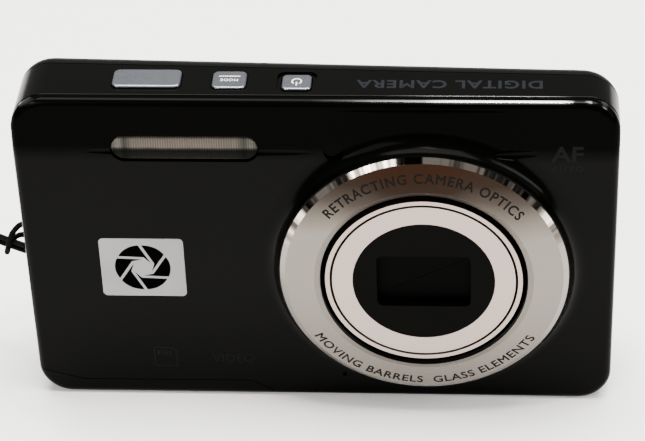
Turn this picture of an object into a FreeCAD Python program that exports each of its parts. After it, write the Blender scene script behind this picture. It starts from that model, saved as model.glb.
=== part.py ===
"""Compact digital camera with a retracting zoom lens, as separate named pieces.

Millimetres. +X is towards the lens side, -Y is the way the lens looks and +Z is up.
The origin is the middle of the footprint, on the surface that the camera stands on.
"""
import FreeCAD, Part
import Sketcher
import math
import os
import re
from FreeCAD import Placement, Rotation, Vector

SIZES = {
    # outer body
    "body_width": 91.5, "body_height": 56.0, "front_face": -6.9, "back_face": 11.15,
    "wall": 1.3, "corner": 5.2, "front_round": 1.2, "seam_gap": 0.12,
    "front_seam": -4.2, "seam_mid": 3.15, "seam_angle": 1.94,
    "brow_foot": 47.6, "brow_setback": 1.15,
    "lip_inset": 0.7, "lip_reach": 1.1,
    # lens ring and its flared collar
    "lens_x": 16.45, "lens_z": 26.8, "ring_radius": 22.13, "ring_bore": 15.85,
    "ring_foot": -9.8, "ring_crest": -11.45, "flare": 2.88, "flare_radius": 25.25,
    "crest_radius": 16.8, "ring_bevel_radius": 21.3, "ring_bevel": -10.4,
    # lens barrels
    "barrel_front": -11.35, "outer_barrel_radius": 15.1, "inner_barrel_radius": 14.15,
    "barrel_wall": 0.8, "cap_radius": 10.85, "window_width": 14.35, "window_height": 9.5,
    "blade_front": -9.75, "blade_thick": 0.3,
    "cam_inner": 15.3, "cam_outer": 17.2, "base_inner": 18.7, "base_outer": 20.4,
    "base_front": -5.5, "base_back": 5.2, "base_plate": 1.0,
    # gear train
    "gear_module": 0.5, "gear_back": 4.6, "gear_thick": 1.3,
    "idler_x": 32.714, "idler_z": 10.536, "pinion_x": 39.847, "pinion_z": 8.218,
    # battery bay
    "door_end": -8.4, "door_height": 2.9, "door_back": 6.6, "hinge_y": 5.1, "hinge_z": 1.5,
    "battery_left": -41.9, "battery_right": -10.4, "battery_foot": 2.6, "battery_top": 41.6,
    "battery_front": -4.7, "battery_back": 1.1,
    # buttons
    "button_gap": 0.15, "pad_x": -30.3, "pad_z": 23.5, "key_radius": 2.8,
    # screen
    "window_left": -17.0, "window_right": 41.0, "window_foot": 5.0, "window_head": 48.5,
    # strap eyelet
    "eyelet_z": 25.0, "eyelet_y": 0.2, "eyelet_floor": -43.35,
    # tripod socket, 1/4 inch thread
    "tripod_x": 2.0, "tripod_y": -0.5, "tripod_radius": 3.175, "tripod_head": 7.0,
}

doc = FreeCAD.newDocument("CompactCamera")
sheet = doc.addObject("Spreadsheet::Sheet", "Sizes")
for row, (alias, size) in enumerate(SIZES.items(), start=1):
    sheet.set(f"A{row}", alias)
    sheet.set(f"B{row}", str(size))
    sheet.setAlias(f"B{row}", alias)
doc.recompute()

PIECES = []


# ---------------------------------------------------------------- helpers
def link(expression):
    """Write an expression of sheet names as one that FreeCAD can follow."""
    return re.sub(r"[a-z]+(?:_[a-z]+)*",
                  lambda m: "Sizes." + m.group() if m.group() in SIZES else m.group(),
                  str(expression))


def value(expression):
    found = sheet.evalExpression(link(expression))
    return float(getattr(found, "Value", found))


def bind(thing, prop, expression):
    thing.setExpression(prop, link(expression))


def keep(thing):
    """Count a finished object as a piece of the camera."""
    PIECES.append(thing)
    return thing


def place(thing, x=0, y=0, z=0, turn=None):
    if turn is not None:
        thing.Placement.Rotation = turn
    for axis, expression in zip("xyz", (x, y, z)):
        bind(thing, f"Placement.Base.{axis}", expression)
    return thing


def box(name, x, y, z):
    """A block between two limits on each axis."""
    made = doc.addObject("Part::Box", name)
    for prop, (low, high) in zip(("Length", "Width", "Height"), (x, y, z)):
        bind(made, prop, f"({high}) - ({low})")
    return place(made, x[0], y[0], z[0])


AXIS_TURN = {
    "x": Rotation(Vector(0, 1, 0), 90),
    "y": Rotation(Vector(1, 0, 0), -90),
    "z": Rotation(),
}


def rod(name, axis, centre, radius, span):
    """A round bar along one axis; centre gives the two other coordinates in order."""
    made = doc.addObject("Part::Cylinder", name)
    bind(made, "Radius", radius)
    bind(made, "Height", f"({span[1]}) - ({span[0]})")
    spot = {"x": (span[0], *centre), "y": (centre[0], span[0], centre[1]),
            "z": (*centre, span[0])}[axis]
    return place(made, *spot, turn=AXIS_TURN[axis])


def ellipsoid(name, x, y, z, half_x, half_y, half_z):
    made = doc.addObject("Part::Ellipsoid", name)
    for prop, expression in (("Radius1", half_z), ("Radius2", half_x), ("Radius3", half_y)):
        bind(made, prop, expression)
    return place(made, x, y, z)


def fuse(name, *shapes):
    made = doc.addObject("Part::MultiFuse", name)
    made.Shapes = list(shapes)
    made.Refine = True
    return made


def cut(name, base, *tools):
    """Cut the tools from the base one after another; the last result has the name."""
    for i, tool in enumerate(tools, start=1):
        made = doc.addObject("Part::Cut", name if i == len(tools) else f"{name}_step_{i}")
        made.Base = base
        made.Tool = tool
        made.Refine = i == len(tools)
        base = made
    return made


def common(name, first, second):
    made = doc.addObject("Part::Common", name)
    made.Base = first
    made.Tool = second
    made.Refine = True
    return made


def new_body(name):
    made = doc.addObject("PartDesign::Body", name)
    made.Label = name
    return made


def new_sketch(body, role, offset="0"):
    """A sketch on one of the body's own origin planes, moved along its normal."""
    made = body.newObject("Sketcher::SketchObject", body.Name + "_sketch")
    plane = [f for f in body.Origin.OriginFeatures if f.Role == role][0]
    made.AttachmentSupport = [(plane, "")]
    made.MapMode = "FlatFace"
    bind(made, "AttachmentOffset.Base.z", offset)
    return made


def outline(sketch, corners):
    """A closed outline through corners whose two coordinates follow the sheet."""
    points = [Vector(value(u), value(v), 0) for u, v in corners]
    first = sketch.GeometryCount
    count = len(points)
    for i, start in enumerate(points):
        sketch.addGeometry(Part.LineSegment(start, points[(i + 1) % count]), False)
    for i in range(count):
        sketch.addConstraint(Sketcher.Constraint("Coincident", first + i, 2,
                                                 first + (i + 1) % count, 1))
    for i, (u, v) in enumerate(corners):
        for kind, expression, number in (("DistanceX", u, points[i].x),
                                         ("DistanceY", v, points[i].y)):
            index = sketch.addConstraint(
                Sketcher.Constraint(kind, -1, 1, first + i, 1, number))
            sketch.setExpression(f"Constraints[{index}]", link(expression))


def circle(sketch, u, v, radius):
    centre = Vector(value(u), value(v), 0)
    made = sketch.addGeometry(Part.Circle(centre, Vector(0, 0, 1), value(radius)), False)
    for kind, expression, number in (("DistanceX", u, centre.x), ("DistanceY", v, centre.y)):
        index = sketch.addConstraint(Sketcher.Constraint(kind, -1, 1, made, 3, number))
        sketch.setExpression(f"Constraints[{index}]", link(expression))
    index = sketch.addConstraint(Sketcher.Constraint("Radius", made, value(radius)))
    sketch.setExpression(f"Constraints[{index}]", link(radius))


PLANES = {"x": ("YZ_Plane", 1), "y": ("XZ_Plane", -1), "z": ("XY_Plane", 1)}


def slab(name, axis, draw, span):
    """A body padded along +axis from one limit to the other; draw fills its sketch."""
    role, sense = PLANES[axis]
    body = new_body(name)
    sketch = new_sketch(body, role, f"{sense} * ({span[0]})")
    draw(sketch)
    pad = body.newObject("PartDesign::Pad", name + "_pad")
    pad.Profile = sketch
    bind(pad, "Length", f"({span[1]}) - ({span[0]})")
    pad.Reversed = sense < 0
    return body


def corners_of(u, v):
    return [(u[0], v[0]), (u[1], v[0]), (u[1], v[1]), (u[0], v[1])]


def rounded(body, axis, radius, test=None):
    """Round the last feature's straight edges that run along an axis."""
    base = body.Tip
    base.recompute(True)
    unit = {"x": Vector(1, 0, 0), "y": Vector(0, 1, 0), "z": Vector(0, 0, 1)}[axis]
    names = []
    for number, edge in enumerate(base.Shape.Edges, start=1):
        if edge.Curve.TypeId != "Part::GeomLine":
            continue
        if abs(edge.tangentAt(edge.FirstParameter).dot(unit)) < 0.999:
            continue
        if test is None or test(edge.CenterOfMass):
            names.append(f"Edge{number}")
    made = body.newObject("PartDesign::Fillet", body.Name + "_round")
    made.Base = (base, names)
    bind(made, "Radius", radius)
    return body


def soften(body, test, radius, kind="Fillet"):
    """Fillet or chamfer the last feature's edges whose middle passes a test."""
    base = body.Tip
    base.recompute(True)
    names = [f"Edge{number}" for number, edge in enumerate(base.Shape.Edges, start=1)
             if test(edge)]
    made = body.newObject("PartDesign::" + kind, body.Name + "_soft")
    made.Base = (base, names)
    bind(made, "Radius" if kind == "Fillet" else "Size", radius)
    return body


def flat_at(axis, level, slack=0.01):
    """A test for edges that lie in the plane where one coordinate has a level."""
    spread = {"x": ("XMin", "XMax"), "y": ("YMin", "YMax"), "z": ("ZMin", "ZMax")}[axis]

    def test(edge):
        limits = edge.BoundBox
        return all(abs(getattr(limits, side) - value(level)) < slack for side in spread)
    return test


def block(name, axis, u, v, span, radius=None):
    """A rounded slab: u and v are the outline's limits, span is along the axis."""
    body = slab(name, axis, lambda s: outline(s, corners_of(u, v)), span)
    if radius is not None:
        rounded(body, axis, radius)
    return body


def turned(name, profile, x="lens_x", z="lens_z"):
    """A body revolved about an axis along Y; the profile is radius and Y."""
    body = new_body(name)
    sketch = new_sketch(body, "XY_Plane")
    outline(sketch, profile)
    spin = body.newObject("PartDesign::Revolution", name + "_turn")
    spin.Profile = sketch
    spin.ReferenceAxis = (sketch, ["V_Axis"])
    spin.Angle = 360
    return place(body, x, 0, z)


def tube_of(name, inner, outer, span, x="lens_x", z="lens_z"):
    return turned(name, [(inner, span[0]), (outer, span[0]), (outer, span[1]),
                         (inner, span[1])], x, z)


HALF = "body_width / 2"


# ---------------------------------------------------------------- outer form
def ring_sketch(body, inset, depth_left, depth_right, drop):
    """A rounded outline on a plane that leans with the rear seam."""
    sketch = body.newObject("Sketcher::SketchObject", body.Name + "_ring")
    plane = [f for f in body.Origin.OriginFeatures if f.Role == "XZ_Plane"][0]
    sketch.AttachmentSupport = [(plane, "")]
    sketch.MapMode = "FlatFace"
    left = value(depth_left)
    right = value(depth_right)
    lean = math.atan2(left - right, value("body_width"))
    middle = (left + right) / 2
    sketch.AttachmentOffset = Placement(Vector(0, 0, -middle),
                                        Rotation(Vector(0, 1, 0), -math.degrees(lean)))
    stretch = 1 / math.cos(lean)
    half = (value(HALF) - value(inset)) * stretch
    low = value(inset)
    high = value("body_height") - value(drop)
    radius = max(value("corner") - 0.45 * value(inset), 1.5)
    rounded_outline(sketch, -half, half, low, high, radius)
    return sketch


def rounded_outline(sketch, left, right, low, high, radius):
    """Four sides and four quarter-round corners."""
    quarter = math.pi / 2
    centres = [(right - radius, high - radius, 0), (left + radius, high - radius, 1),
               (left + radius, low + radius, 2), (right - radius, low + radius, 3)]
    ends = []
    for u, v, turn in centres:
        arc = Part.ArcOfCircle(Part.Circle(Vector(u, v, 0), Vector(0, 0, 1), radius),
                               turn * quarter, (turn + 1) * quarter)
        sketch.addGeometry(arc, False)
        ends.append((arc.StartPoint, arc.EndPoint))
    for i in range(4):
        sketch.addGeometry(Part.LineSegment(ends[i][1], ends[(i + 1) % 4][0]), False)
    for i in range(4):
        sketch.addConstraint(Sketcher.Constraint("Tangent", i, 2, 4 + i, 1))
        sketch.addConstraint(Sketcher.Constraint("Tangent", 4 + i, 2, (i + 1) % 4, 1))


def seam_at(x):
    """The rear seam's Y at a distance along the camera."""
    return f"seam_mid - ({x}) * tan(seam_angle)"


def rear_form(name, extra):
    """The rear shell's pillowed outer form, or its inside when extra is the wall."""
    body = new_body(name)
    left = value(seam_at("-" + HALF))
    right = value(seam_at(HALF))
    stations = [(0.0, 0.0, 0.0, 0.0), (0.6, 0.6, 0.03, 0.04), (1.6, 1.6, 0.25, 0.27),
                (3.2, 3.2, 0.8, 1.17), (5.0, 6.8, 1.9, 3.5), (None, None, 3.4, 6.0)]
    rings = []
    for step_left, step_right, inset, drop in stations:
        if step_left is None:
            depth = f"back_face - ({extra})"
            rings.append(ring_sketch(body, f"{inset} + ({extra})", depth, depth,
                                     f"{drop} + ({extra})"))
        else:
            shift = 0.6 * value(extra) * (step_left > 3)
            rings.append(ring_sketch(body, f"{inset} + ({extra})", left + step_left - shift,
                                     right + step_right - shift, f"{drop} + ({extra})"))
    loft = body.newObject("PartDesign::AdditiveLoft", name + "_loft")
    loft.Profile = rings[0]
    loft.Sections = rings[1:]
    loft.Ruled = False
    return body


def zone_behind(name, shift):
    """Everything behind the leaning rear seam, moved back by a shift."""
    made = doc.addObject("Part::Box", name)
    made.Length = 140
    made.Width = 60
    made.Height = 90
    turn = Rotation(Vector(0, 0, 1), -value("seam_angle"))
    made.Placement = Placement(Vector(0, value("seam_mid") + value(shift), -10)
                               + turn.multVec(Vector(-70, 0, 0)), turn)
    return made


def full_prism(name, inset, span):
    """The body's rounded outline, inset and padded between two depths."""
    return block(name, "y", (f"-{HALF} + ({inset})", f"{HALF} - ({inset})"),
                 (inset, f"body_height - ({inset})"), span, f"corner - 0.8 * ({inset})")


def front_form():
    """The front shell's outside: rounded edges and a brow that leans back."""
    body = full_prism("front_form", "0", ("front_face", "front_seam - seam_gap / 2"))
    sketch = new_sketch(body, "YZ_Plane", "-60")
    lean = "(brow_setback / (body_height - brow_foot))"
    outline(sketch, [("front_face", "brow_foot"), ("front_face - 3", "brow_foot"),
                     ("front_face - 3", "body_height + 2"),
                     (f"front_face + {lean} * (body_height + 2 - brow_foot)",
                      "body_height + 2")])
    brow = body.newObject("PartDesign::Pocket", "brow")
    brow.Profile = sketch
    brow.Length = 120
    brow.Reversed = True
    return body


front_outside = front_form()
soften(front_outside, lambda e: abs(e.BoundBox.ZMax - value("brow_foot")) < 0.01
       and e.BoundBox.XLength > 50, 12)
brow_top = value("front_face + brow_setback")
soften(front_outside, lambda e: e.BoundBox.YMax < brow_top + 0.2 and not
       (e.BoundBox.XLength > 50 and e.BoundBox.ZMin > 40 and e.BoundBox.ZMax < 52),
       "front_round")
soften(front_outside, flat_at("y", "front_seam - seam_gap / 2"), 0.2)
rear_outside = rear_form("rear_outside", "0")
rear_inside = rear_form("rear_inside", "wall")


# ---------------------------------------------------------------- battery door space
def door_space(name, gap, back):
    """The corner of the camera that the battery door fills, plus a gap round it."""
    draw = [(f"-{HALF} - 3", "-3"), (f"-{HALF} - 3", f"5.05 + {gap}"),
            (f"-{HALF} + 0.8", f"4.8 + {gap}"), ("-38.6", f"door_height + {gap}"),
            ("door_end - 2.95", f"door_height + 0.1 + {gap}"),
            (f"door_end + {gap}", f"1.2 + {gap}"), (f"door_end + 0.9 + {gap}", "-3")]
    return slab(name, "y", lambda s: outline(s, draw), ("front_face - 5", back))


door_hole = door_space("door_hole", 0.12, "door_back + 0.15")

# ---------------------------------------------------------------- front cover
collar = turned("collar", [(0, "ring_foot + 0.03"), ("flare_radius", "ring_foot + 0.03"),
                           ("flare_radius", "front_face"), (31, "front_face + 1"),
                           (31, "front_face + 1.3"), (0, "front_face + 1.3")])
flare_ring = doc.addObject("Part::Torus", "flare_ring")
bind(flare_ring, "Radius1", "flare_radius")
bind(flare_ring, "Radius2", "flare")
place(flare_ring, "lens_x", "ring_foot", "lens_z", AXIS_TURN["y"])
collar_zone = box("collar_zone", (-20, f"{HALF} - 2.2"), ("ring_foot - 1", "front_face + 1.3"),
                  (1.2, "body_height - 1.5"))
front_mass = fuse("front_mass", front_outside,
                  common("collar_fit", cut("collar_flared", collar, flare_ring), collar_zone))
front_low = block("front_low", "y", (f"-{HALF} + wall", f"{HALF} - wall"),
                  ("wall", "brow_foot - 1.4"), ("front_face + wall", 0), "corner - wall")
front_high = box("front_high", (f"-{HALF} + wall + 1.5", f"{HALF} - wall - 1.5"),
                 ("front_face + 2.2", 0), (20, "body_height - wall"))
front_lip = full_prism("front_lip", "lip_inset - 0.05", ("front_seam - lip_reach - 0.1", 0))
lens_hole = rod("lens_hole", "y", ("lens_x", "lens_z"), "ring_bore + 0.35",
                ("ring_foot - 3", 0))
flash_hole = block("flash_hole", "y", (-30.75, -8.25), (45.75, 50.25),
                   ("front_face - 3", 0), 2.24)
lamp_hole = rod("lamp_hole", "y", (3.0, 47.7), 1.5, ("front_face - 4", 0))
mic_hole = rod("mic_hole", "y", (3.54, 4.6), 0.35, ("front_face - 4", 0))
badge_pocket = block("badge_pocket", "y", (-34.0, -20.75), (20.05, 31.25),
                     ("front_face - 3", "front_face + 0.3"), 0.8)
creases = [ellipsoid(f"crease_{side}", x, "front_face - 0.5", "brow_foot", half_x, half_y, 1.0)
           for side, x, half_x, half_y in (("left", -17.5, 21.5, 0.9),
                                            ("right", 30.9, 4.3, 0.7))]
collar_hollow = tube_of("collar_hollow", 17.6, 21.2, ("ring_foot + 1.4", 0))
keep(cut("front_cover", front_mass, collar_hollow, front_low, front_high,
         front_lip, lens_hole, flash_hole, lamp_hole, mic_hole, badge_pocket,
         door_hole, *creases))

# ---------------------------------------------------------------- middle band
band_outside = full_prism("band_outside", "0", ("front_seam + seam_gap / 2", 6))
soften(band_outside, flat_at("y", "front_seam + seam_gap / 2"), 0.25)
band_solid = cut("band_solid", band_outside, zone_behind("behind_band", "-seam_gap / 2"))
band_lip = cut("band_lip", full_prism("band_lip_outside", "lip_inset",
                                      ("front_seam - lip_reach", 6.5)),
               zone_behind("behind_lip", "lip_reach"))
band_bore = full_prism("band_bore", "wall", (-20, 20))


def top_block(name, x, half_x, half_y, radius, span):
    """A rounded block on the band's middle line at a distance along the camera."""
    middle = f"(front_seam + {seam_at(x)}) / 2"
    return block(name, "z", (f"{x} - {half_x}", f"{x} + {half_x}"),
                 (f"{middle} - {half_y}", f"{middle} + {half_y}"), span, radius)


TOP_KEYS = {"shutter": (-25.25, 5.2, 2.35, 1.0, 0.45), "mode": (-12.75, 2.6, 2.3, 1.0, 0.35),
            "power": (-2.6, 2.25, 2.0, 0.8, 0.1)}
ABOVE = ("body_height - 4", "body_height + 2")
top_holes = [top_block(f"{name}_hole", x, f"({half_x} + button_gap)",
                       f"({half_y} + button_gap)", radius + 0.15, ABOVE)
             for name, (x, half_x, half_y, radius, proud) in TOP_KEYS.items()]
power_recess = top_block("power_recess", -2.6, 3.0, 2.75, 1.2,
                         ("body_height - 0.35", "body_height + 2"))
eyelet_pocket = block("eyelet_pocket", "x", ("eyelet_y - 2.6", "eyelet_y + 2.6"),
                      ("eyelet_z - 4", "eyelet_z + 4"), (f"-{HALF} - 2", "eyelet_floor"), 1.2)
eyelet_wall = block("eyelet_wall", "x", ("eyelet_y - 3.2", "eyelet_y + 3.2"),
                    ("eyelet_z - 4.8", "eyelet_z + 4.8"),
                    (f"-{HALF} + 0.8", "eyelet_floor + 0.6"), 1.2)
bar_hole = rod("bar_hole", "z", ("-45.0", "eyelet_y"), 0.6, ("eyelet_z - 4.4", "eyelet_z + 4.4"))
port_hole = block("port_hole", "x", (-3.5, 1.0), (14.8, 27.2), ("44.9", f"{HALF} + 2"), 0.5)
socket_hole = block("socket_hole", "x", (-2.6, 0.5), (17.2, 24.8), (43, f"{HALF} + 2"), 0.6)
speaker_slots = [block(f"speaker_slot_{i}", "x", (-2.7 + 1.1 * i, -2.1 + 1.1 * i), (39.5, 44.5),
                       (43, f"{HALF} + 2"), 0.28) for i in range(4)]
tripod_hole = rod("tripod_hole", "z", ("tripod_x", "tripod_y"), "tripod_radius + 0.25", (-3, 3))
# ---------------------------------------------------------------- body screws
SCREWS = (("bottom_mid", "z", (12.0, -0.5), 0, 1, 2.6), ("bottom_end", "z", (34.0, -0.5), 0, 1, 2.6),
          ("right", "x", (-1.0, 33.0), "body_width / 2", -1, 2.8),
          ("left_low", "x", (-0.6, 12.0), "-body_width / 2", 1, 2.3),
          ("left_high", "x", (0.2, 40.5), "-body_width / 2", 1, 2.3))


def inward(face, sense, start, end):
    """A span that runs into the body from a face, low limit first."""
    limits = [f"{face} + ({sense} * {start})", f"{face} + ({sense} * {end})"]
    return tuple(limits if sense > 0 else limits[::-1])


screw_holes = []
screw_solids = []
for label, axis, centre, face, sense, reach in SCREWS:
    screw_holes.append(rod(f"bore_{label}", axis, centre, 1.25, inward(face, sense, -1, 0.65)))
    screw_holes.append(rod(f"clear_{label}", axis, centre, 0.65, inward(face, sense, 0, 1.6)))
    head = rod(f"head_{label}", axis, centre, 1.15, inward(face, sense, 0.12, 0.62))
    shank = rod(f"shank_{label}", axis, centre, 0.6, inward(face, sense, 0.4, reach))
    slots = []
    for wide, tall in ((1.4, 0.26), (0.26, 1.4)):
        u = (centre[0] - wide / 2, centre[0] + wide / 2)
        v = (centre[1] - tall / 2, centre[1] + tall / 2)
        deep = inward(face, sense, -0.2, 0.4)
        limits = (deep, u, v) if axis == "x" else (u, v, deep)
        slots.append(box(f"drive_{label}_{int(wide)}", *limits))
    screw_solids.append(cut(f"screw_{label}", fuse(f"screw_{label}_blank", head, shank), *slots))

# ---------------------------------------------------------------- band in one piece
keep(cut("middle_band",
         fuse("band_mass", cut("band_shell", fuse("band_both", band_solid,
                                                  band_lip), band_bore),
              eyelet_wall),
         *top_holes, power_recess, eyelet_pocket, bar_hole, port_hole,
         socket_hole, *speaker_slots, tripod_hole, door_hole, *screw_holes))

# ---------------------------------------------------------------- rear cover
rear_lip = cut("rear_lip", full_prism("rear_lip_outside", "lip_inset - 0.05", (-10, 8)),
               zone_behind("behind_rear_lip", "lip_reach + 0.1"))
screen_hole = block("screen_hole", "y", ("window_left - 0.1", "window_right + 0.1"),
                    ("window_foot - 0.1", "window_head + 0.1"), (5, 20), 1.6)
REAR_KEYS = {"record": ("pad_x - 7.4", "pad_z + 12.6"), "playback": ("pad_x + 7.4", "pad_z + 12.6"),
             "menu": ("pad_x - 7.4", "pad_z - 13"), "delete": ("pad_x + 7.4", "pad_z - 13")}
key_holes = [rod(f"{name}_hole", "y", (x, z), "key_radius + button_gap", (5, 20))
             for name, (x, z) in REAR_KEYS.items()]
pad_hole = rod("pad_hole", "y", ("pad_x", "pad_z"), "9.2 + button_gap", (5, 20))
rocker_hole = block("rocker_hole", "y", ("pad_x - 7.6", "pad_x + 7.6"), (42.4, 48.4), (5, 20), 2.2)
lug_span = ((-43.5, -41.2), (-15.0, -12.5))
lugs = []
for i, span in enumerate(lug_span):
    lugs.append(rod(f"lug_{i}", "x", ("hinge_y", "hinge_z"), 1.3, span))
    lugs.append(box(f"lug_arm_{i}", span, ("hinge_y", "door_back + 1.2"), (0.3, 2.8)))
pin_bore = rod("pin_bore", "x", ("hinge_y", "hinge_z"), 0.65, (-44.4, -9))
rear_shell = cut("rear_shell", rear_outside, rear_inside, rear_lip, screen_hole, pad_hole,
                 rocker_hole, *key_holes, door_hole,
                 zone_behind("front_of_seam", "-60.0 + seam_gap / 2"))
keep(cut("rear_cover", fuse("rear_with_lugs", rear_shell, *lugs), pin_bore))


# ---------------------------------------------------------------- battery door
def hinge_wheel(name, radius, span):
    return rod(name, "x", ("hinge_y", "hinge_z"), radius, span)


door_fill = door_space("door_fill", 0, "door_back")
door_shell_low = block("door_shell_low", "y", (f"-{HALF}", f"{HALF}"), ("0", "body_height"),
                       ("front_face", 12), "corner")
soften(door_shell_low, flat_at("y", "front_face"), "front_round")
door_room = block("door_room", "y", (f"-{HALF} + 1.4", f"{HALF}"), ("1.5", "30"),
                  ("front_face + 1.4", 20), "corner - 1.4")
door_rear_trim = box("door_rear_trim", (-60, 0), ("hinge_y", 12), (-3, "hinge_z"))
door_rear_round = hinge_wheel("door_rear_round", 1.5, (-60, 0))
side_trim = box("side_trim", (-60, -44), ("hinge_y - 3.0", 12), ("hinge_z", 8))
side_round = hinge_wheel("side_round", 3.1, (-60, -43))
door_form = common("door_form", door_shell_low, door_fill)
door_plate = cut("door_plate", door_form, door_room, cut("rear_trim", door_rear_trim,
                                                         door_rear_round),
                 cut("side_trim_round", side_trim, side_round))
door_knuckle = hinge_wheel("door_knuckle", 1.45, (-38.0, -15.8))
knuckle_web = box("knuckle_web", (-38.0, -15.8), ("hinge_y - 3.4", "hinge_y"), (0.4, 1.5))
notches = [box(f"door_notch_{i}", span, ("hinge_y - 1.75", 12), (-3, 3.1))
           for i, span in enumerate(((-44.1, -38.0), (-15.8, -7)))]
keep(cut("battery_door", fuse("door_mass", cut("door_notched", door_plate,
                                               *notches),
                              door_knuckle, knuckle_web),
         hinge_wheel("door_bore", 0.65, (-50, 0))))
keep(hinge_wheel("battery_door_pin", 0.6, (-43.6, -10.9)))

# ---------------------------------------------------------------- battery, card and bay
keep(block("battery", "z", ("battery_left", "battery_right"),
           ("battery_front", "battery_back"), ("battery_foot", "battery_top"), 1.2))
bay_outer = box("bay_outer", ("battery_left - 0.75", "battery_right + 0.85"),
                ("battery_front - 0.65", "battery_back + 0.6"), (3.4, "battery_top + 1.7"))
bay_inner = box("bay_inner", ("battery_left - 0.15", "battery_right + 0.15"),
                ("battery_front - 0.15", "battery_back + 0.15"), (0, "battery_top + 1.1"))
latch_window = box("latch_window", ("battery_right + 0.05", "battery_right + 2"), (-4.1, -0.9),
                   (3, 9.6))
contact_x = [f"battery_left + {5 + 3 * i}" for i in range(3)]
contacts = [box(f"contact_{i}", (x, f"{x} + 1.6"), (-3.2, -0.6),
                ("battery_top + 0.1", "battery_top + 1.2")) for i, x in enumerate(contact_x)]
keep(fuse("battery_bay", cut("bay_shell", bay_outer, bay_inner, latch_window),
          *contacts))
keep(fuse("battery_latch",
          box("latch_arm", ("battery_right + 0.35", "battery_right + 1.7"),
              (-4, -1), (1.7, 9)),
          box("latch_hook", ("battery_right - 1.2", "battery_right + 0.35"),
              (-4, -1), (1.7, 2.45))))
keep(slab("memory_card", "y", lambda s: outline(s, [
    (-39.5, 3.1), (-15.5, 3.1), (-15.5, 31.3), (-19.3, 35.1), (-39.5, 35.1)]), (2.35, 4.45)))
keep(cut("card_slot",
         box("slot_shell", (-40.1, -14.9), (1.95, 4.8), (5, 36)),
         box("slot_room", (-39.7, -15.3), (2.25, 4.55), (0, 35.5)),
         box("slot_window", (-34, -20), (4.4, 6), (12, 30))))

# ---------------------------------------------------------------- boards
board_plate = cut("board_plate", block("board_sheet", "y", (-42.6, -4.8), (4.4, 42.8),
                                       (5.5, 6.4), 1.0),
                  rod("board_hole_low", "y", (-40.8, 6.4), 1.1, (5, 7)),
                  rod("board_hole_high", "y", (-6.6, 40.8), 1.1, (5, 7)))
CHIPS = [((-30, -18), (16, 28), 1.0), ((-40, -33), (18, 25), 0.9), ((-40, -34), (30, 35), 0.8),
         ((-14, -8), (9, 15), 0.8), ((-15, -9), (26, 33), 0.9), ((-29, -24), (34, 38), 0.7),
         ((-27, -20), (7, 11), 0.7)]
keep(fuse("main_board", board_plate,
          *[box(f"chip_{i}", x, (6.3, f"6.4 + {tall}"), z)
            for i, (x, z, tall) in enumerate(CHIPS)]))
keep(cut("chassis",
         fuse("chassis_sheet",
              box("chassis_wall", (-6.6, -6.1), (-5.2, 2.8), (1.45, 40)),
              box("chassis_wing", (-6.6, -6.1), (2.6, 5.2), (3.6, 40)),
              box("chassis_foot", (-6.6, 8), (-3.9, 2.9), (1.45, 1.95))),
         rod("chassis_bore", "z", ("tripod_x", "tripod_y"), "tripod_radius + 0.4", (0, 5)),
         rod("chassis_light_low", "x", (-0.5, 12), 2.2, (-9, -4)),
         rod("chassis_light_high", "x", (-0.5, 30), 2.2, (-9, -4))))

# ---------------------------------------------------------------- tripod socket
keep(cut("tripod_socket",
         fuse("socket_body",
              rod("socket_barrel", "z", ("tripod_x", "tripod_y"), 4.2,
                  (1.95, "tripod_head")),
              rod("socket_flange", "z", ("tripod_x", "tripod_y"), 4.9,
                  (1.95, 2.75))),
         rod("socket_thread", "z", ("tripod_x", "tripod_y"), "tripod_radius",
             (0, "tripod_head + 1"))))

# ---------------------------------------------------------------- flash and lamp
keep(block("flash_window", "y", (-30.6, -8.4), (45.9, 50.1),
           ("front_face + 0.35", "front_face + 1.5"), 2.09))
reflector = cut("reflector_trough",
                box("reflector_shell", (-29.6, -9.4), (-5.35, -0.9), (45.7, 50.3)),
                rod("reflector_room", "x", (-4.2, 48.0), 2.05, (-29.1, -9.9)),
                box("reflector_mouth", (-29.1, -9.9), (-8, -4.2), (45.95, 50.05)))
keep(fuse("flash_unit", reflector,
          rod("flash_tube", "x", (-3.6, 48.0), 0.9, (-30.2, -8.8))))
keep(rod("flash_capacitor", "x", (3.7, 47.1), 3.4, (-34, -8)))
keep(rod("focus_lamp_window", "y", (3.0, 47.7), 1.45,
         ("front_face + 0.35", "front_face + 1.6")))
keep(block("badge", "y", (-33.95, -20.8), (20.1, 31.2),
           ("front_face - 0.05", "front_face + 0.3"), 0.75))

# ---------------------------------------------------------------- lens ring and barrels
keep(turned("lens_ring", [
    ("ring_bore", -6.0), ("ring_bore + 0.3", -6.0), ("ring_bore + 0.3", "ring_foot"),
    ("ring_radius", "ring_foot"), ("ring_bevel_radius", "ring_bevel"),
    ("crest_radius", "ring_crest"), ("ring_bore", "ring_crest + 0.5")]))
keep(tube_of("outer_barrel", "outer_barrel_radius - barrel_wall",
             "outer_barrel_radius", ("barrel_front", 3.5)))
keep(turned("inner_barrel", [
    ("cap_radius + 0.05", "barrel_front"), ("inner_barrel_radius", "barrel_front"),
    ("inner_barrel_radius", 2.0), ("inner_barrel_radius - barrel_wall", 2.0),
    ("inner_barrel_radius - barrel_wall", "barrel_front + 1.1"),
    ("cap_radius + 0.05", "barrel_front + 1.1")]))
cap_disc = rod("cap_disc", "y", ("lens_x", "lens_z"), "cap_radius",
               ("barrel_front + 0.05", "blade_front - 0.15"))
cap_window = block("cap_window", "y", ("lens_x - window_width / 2", "lens_x + window_width / 2"),
                   ("lens_z - window_height / 2", "lens_z + window_height / 2"), (-20, 0), 1.0)
keep(cut("barrel_cap", cap_disc, cap_window))

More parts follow.
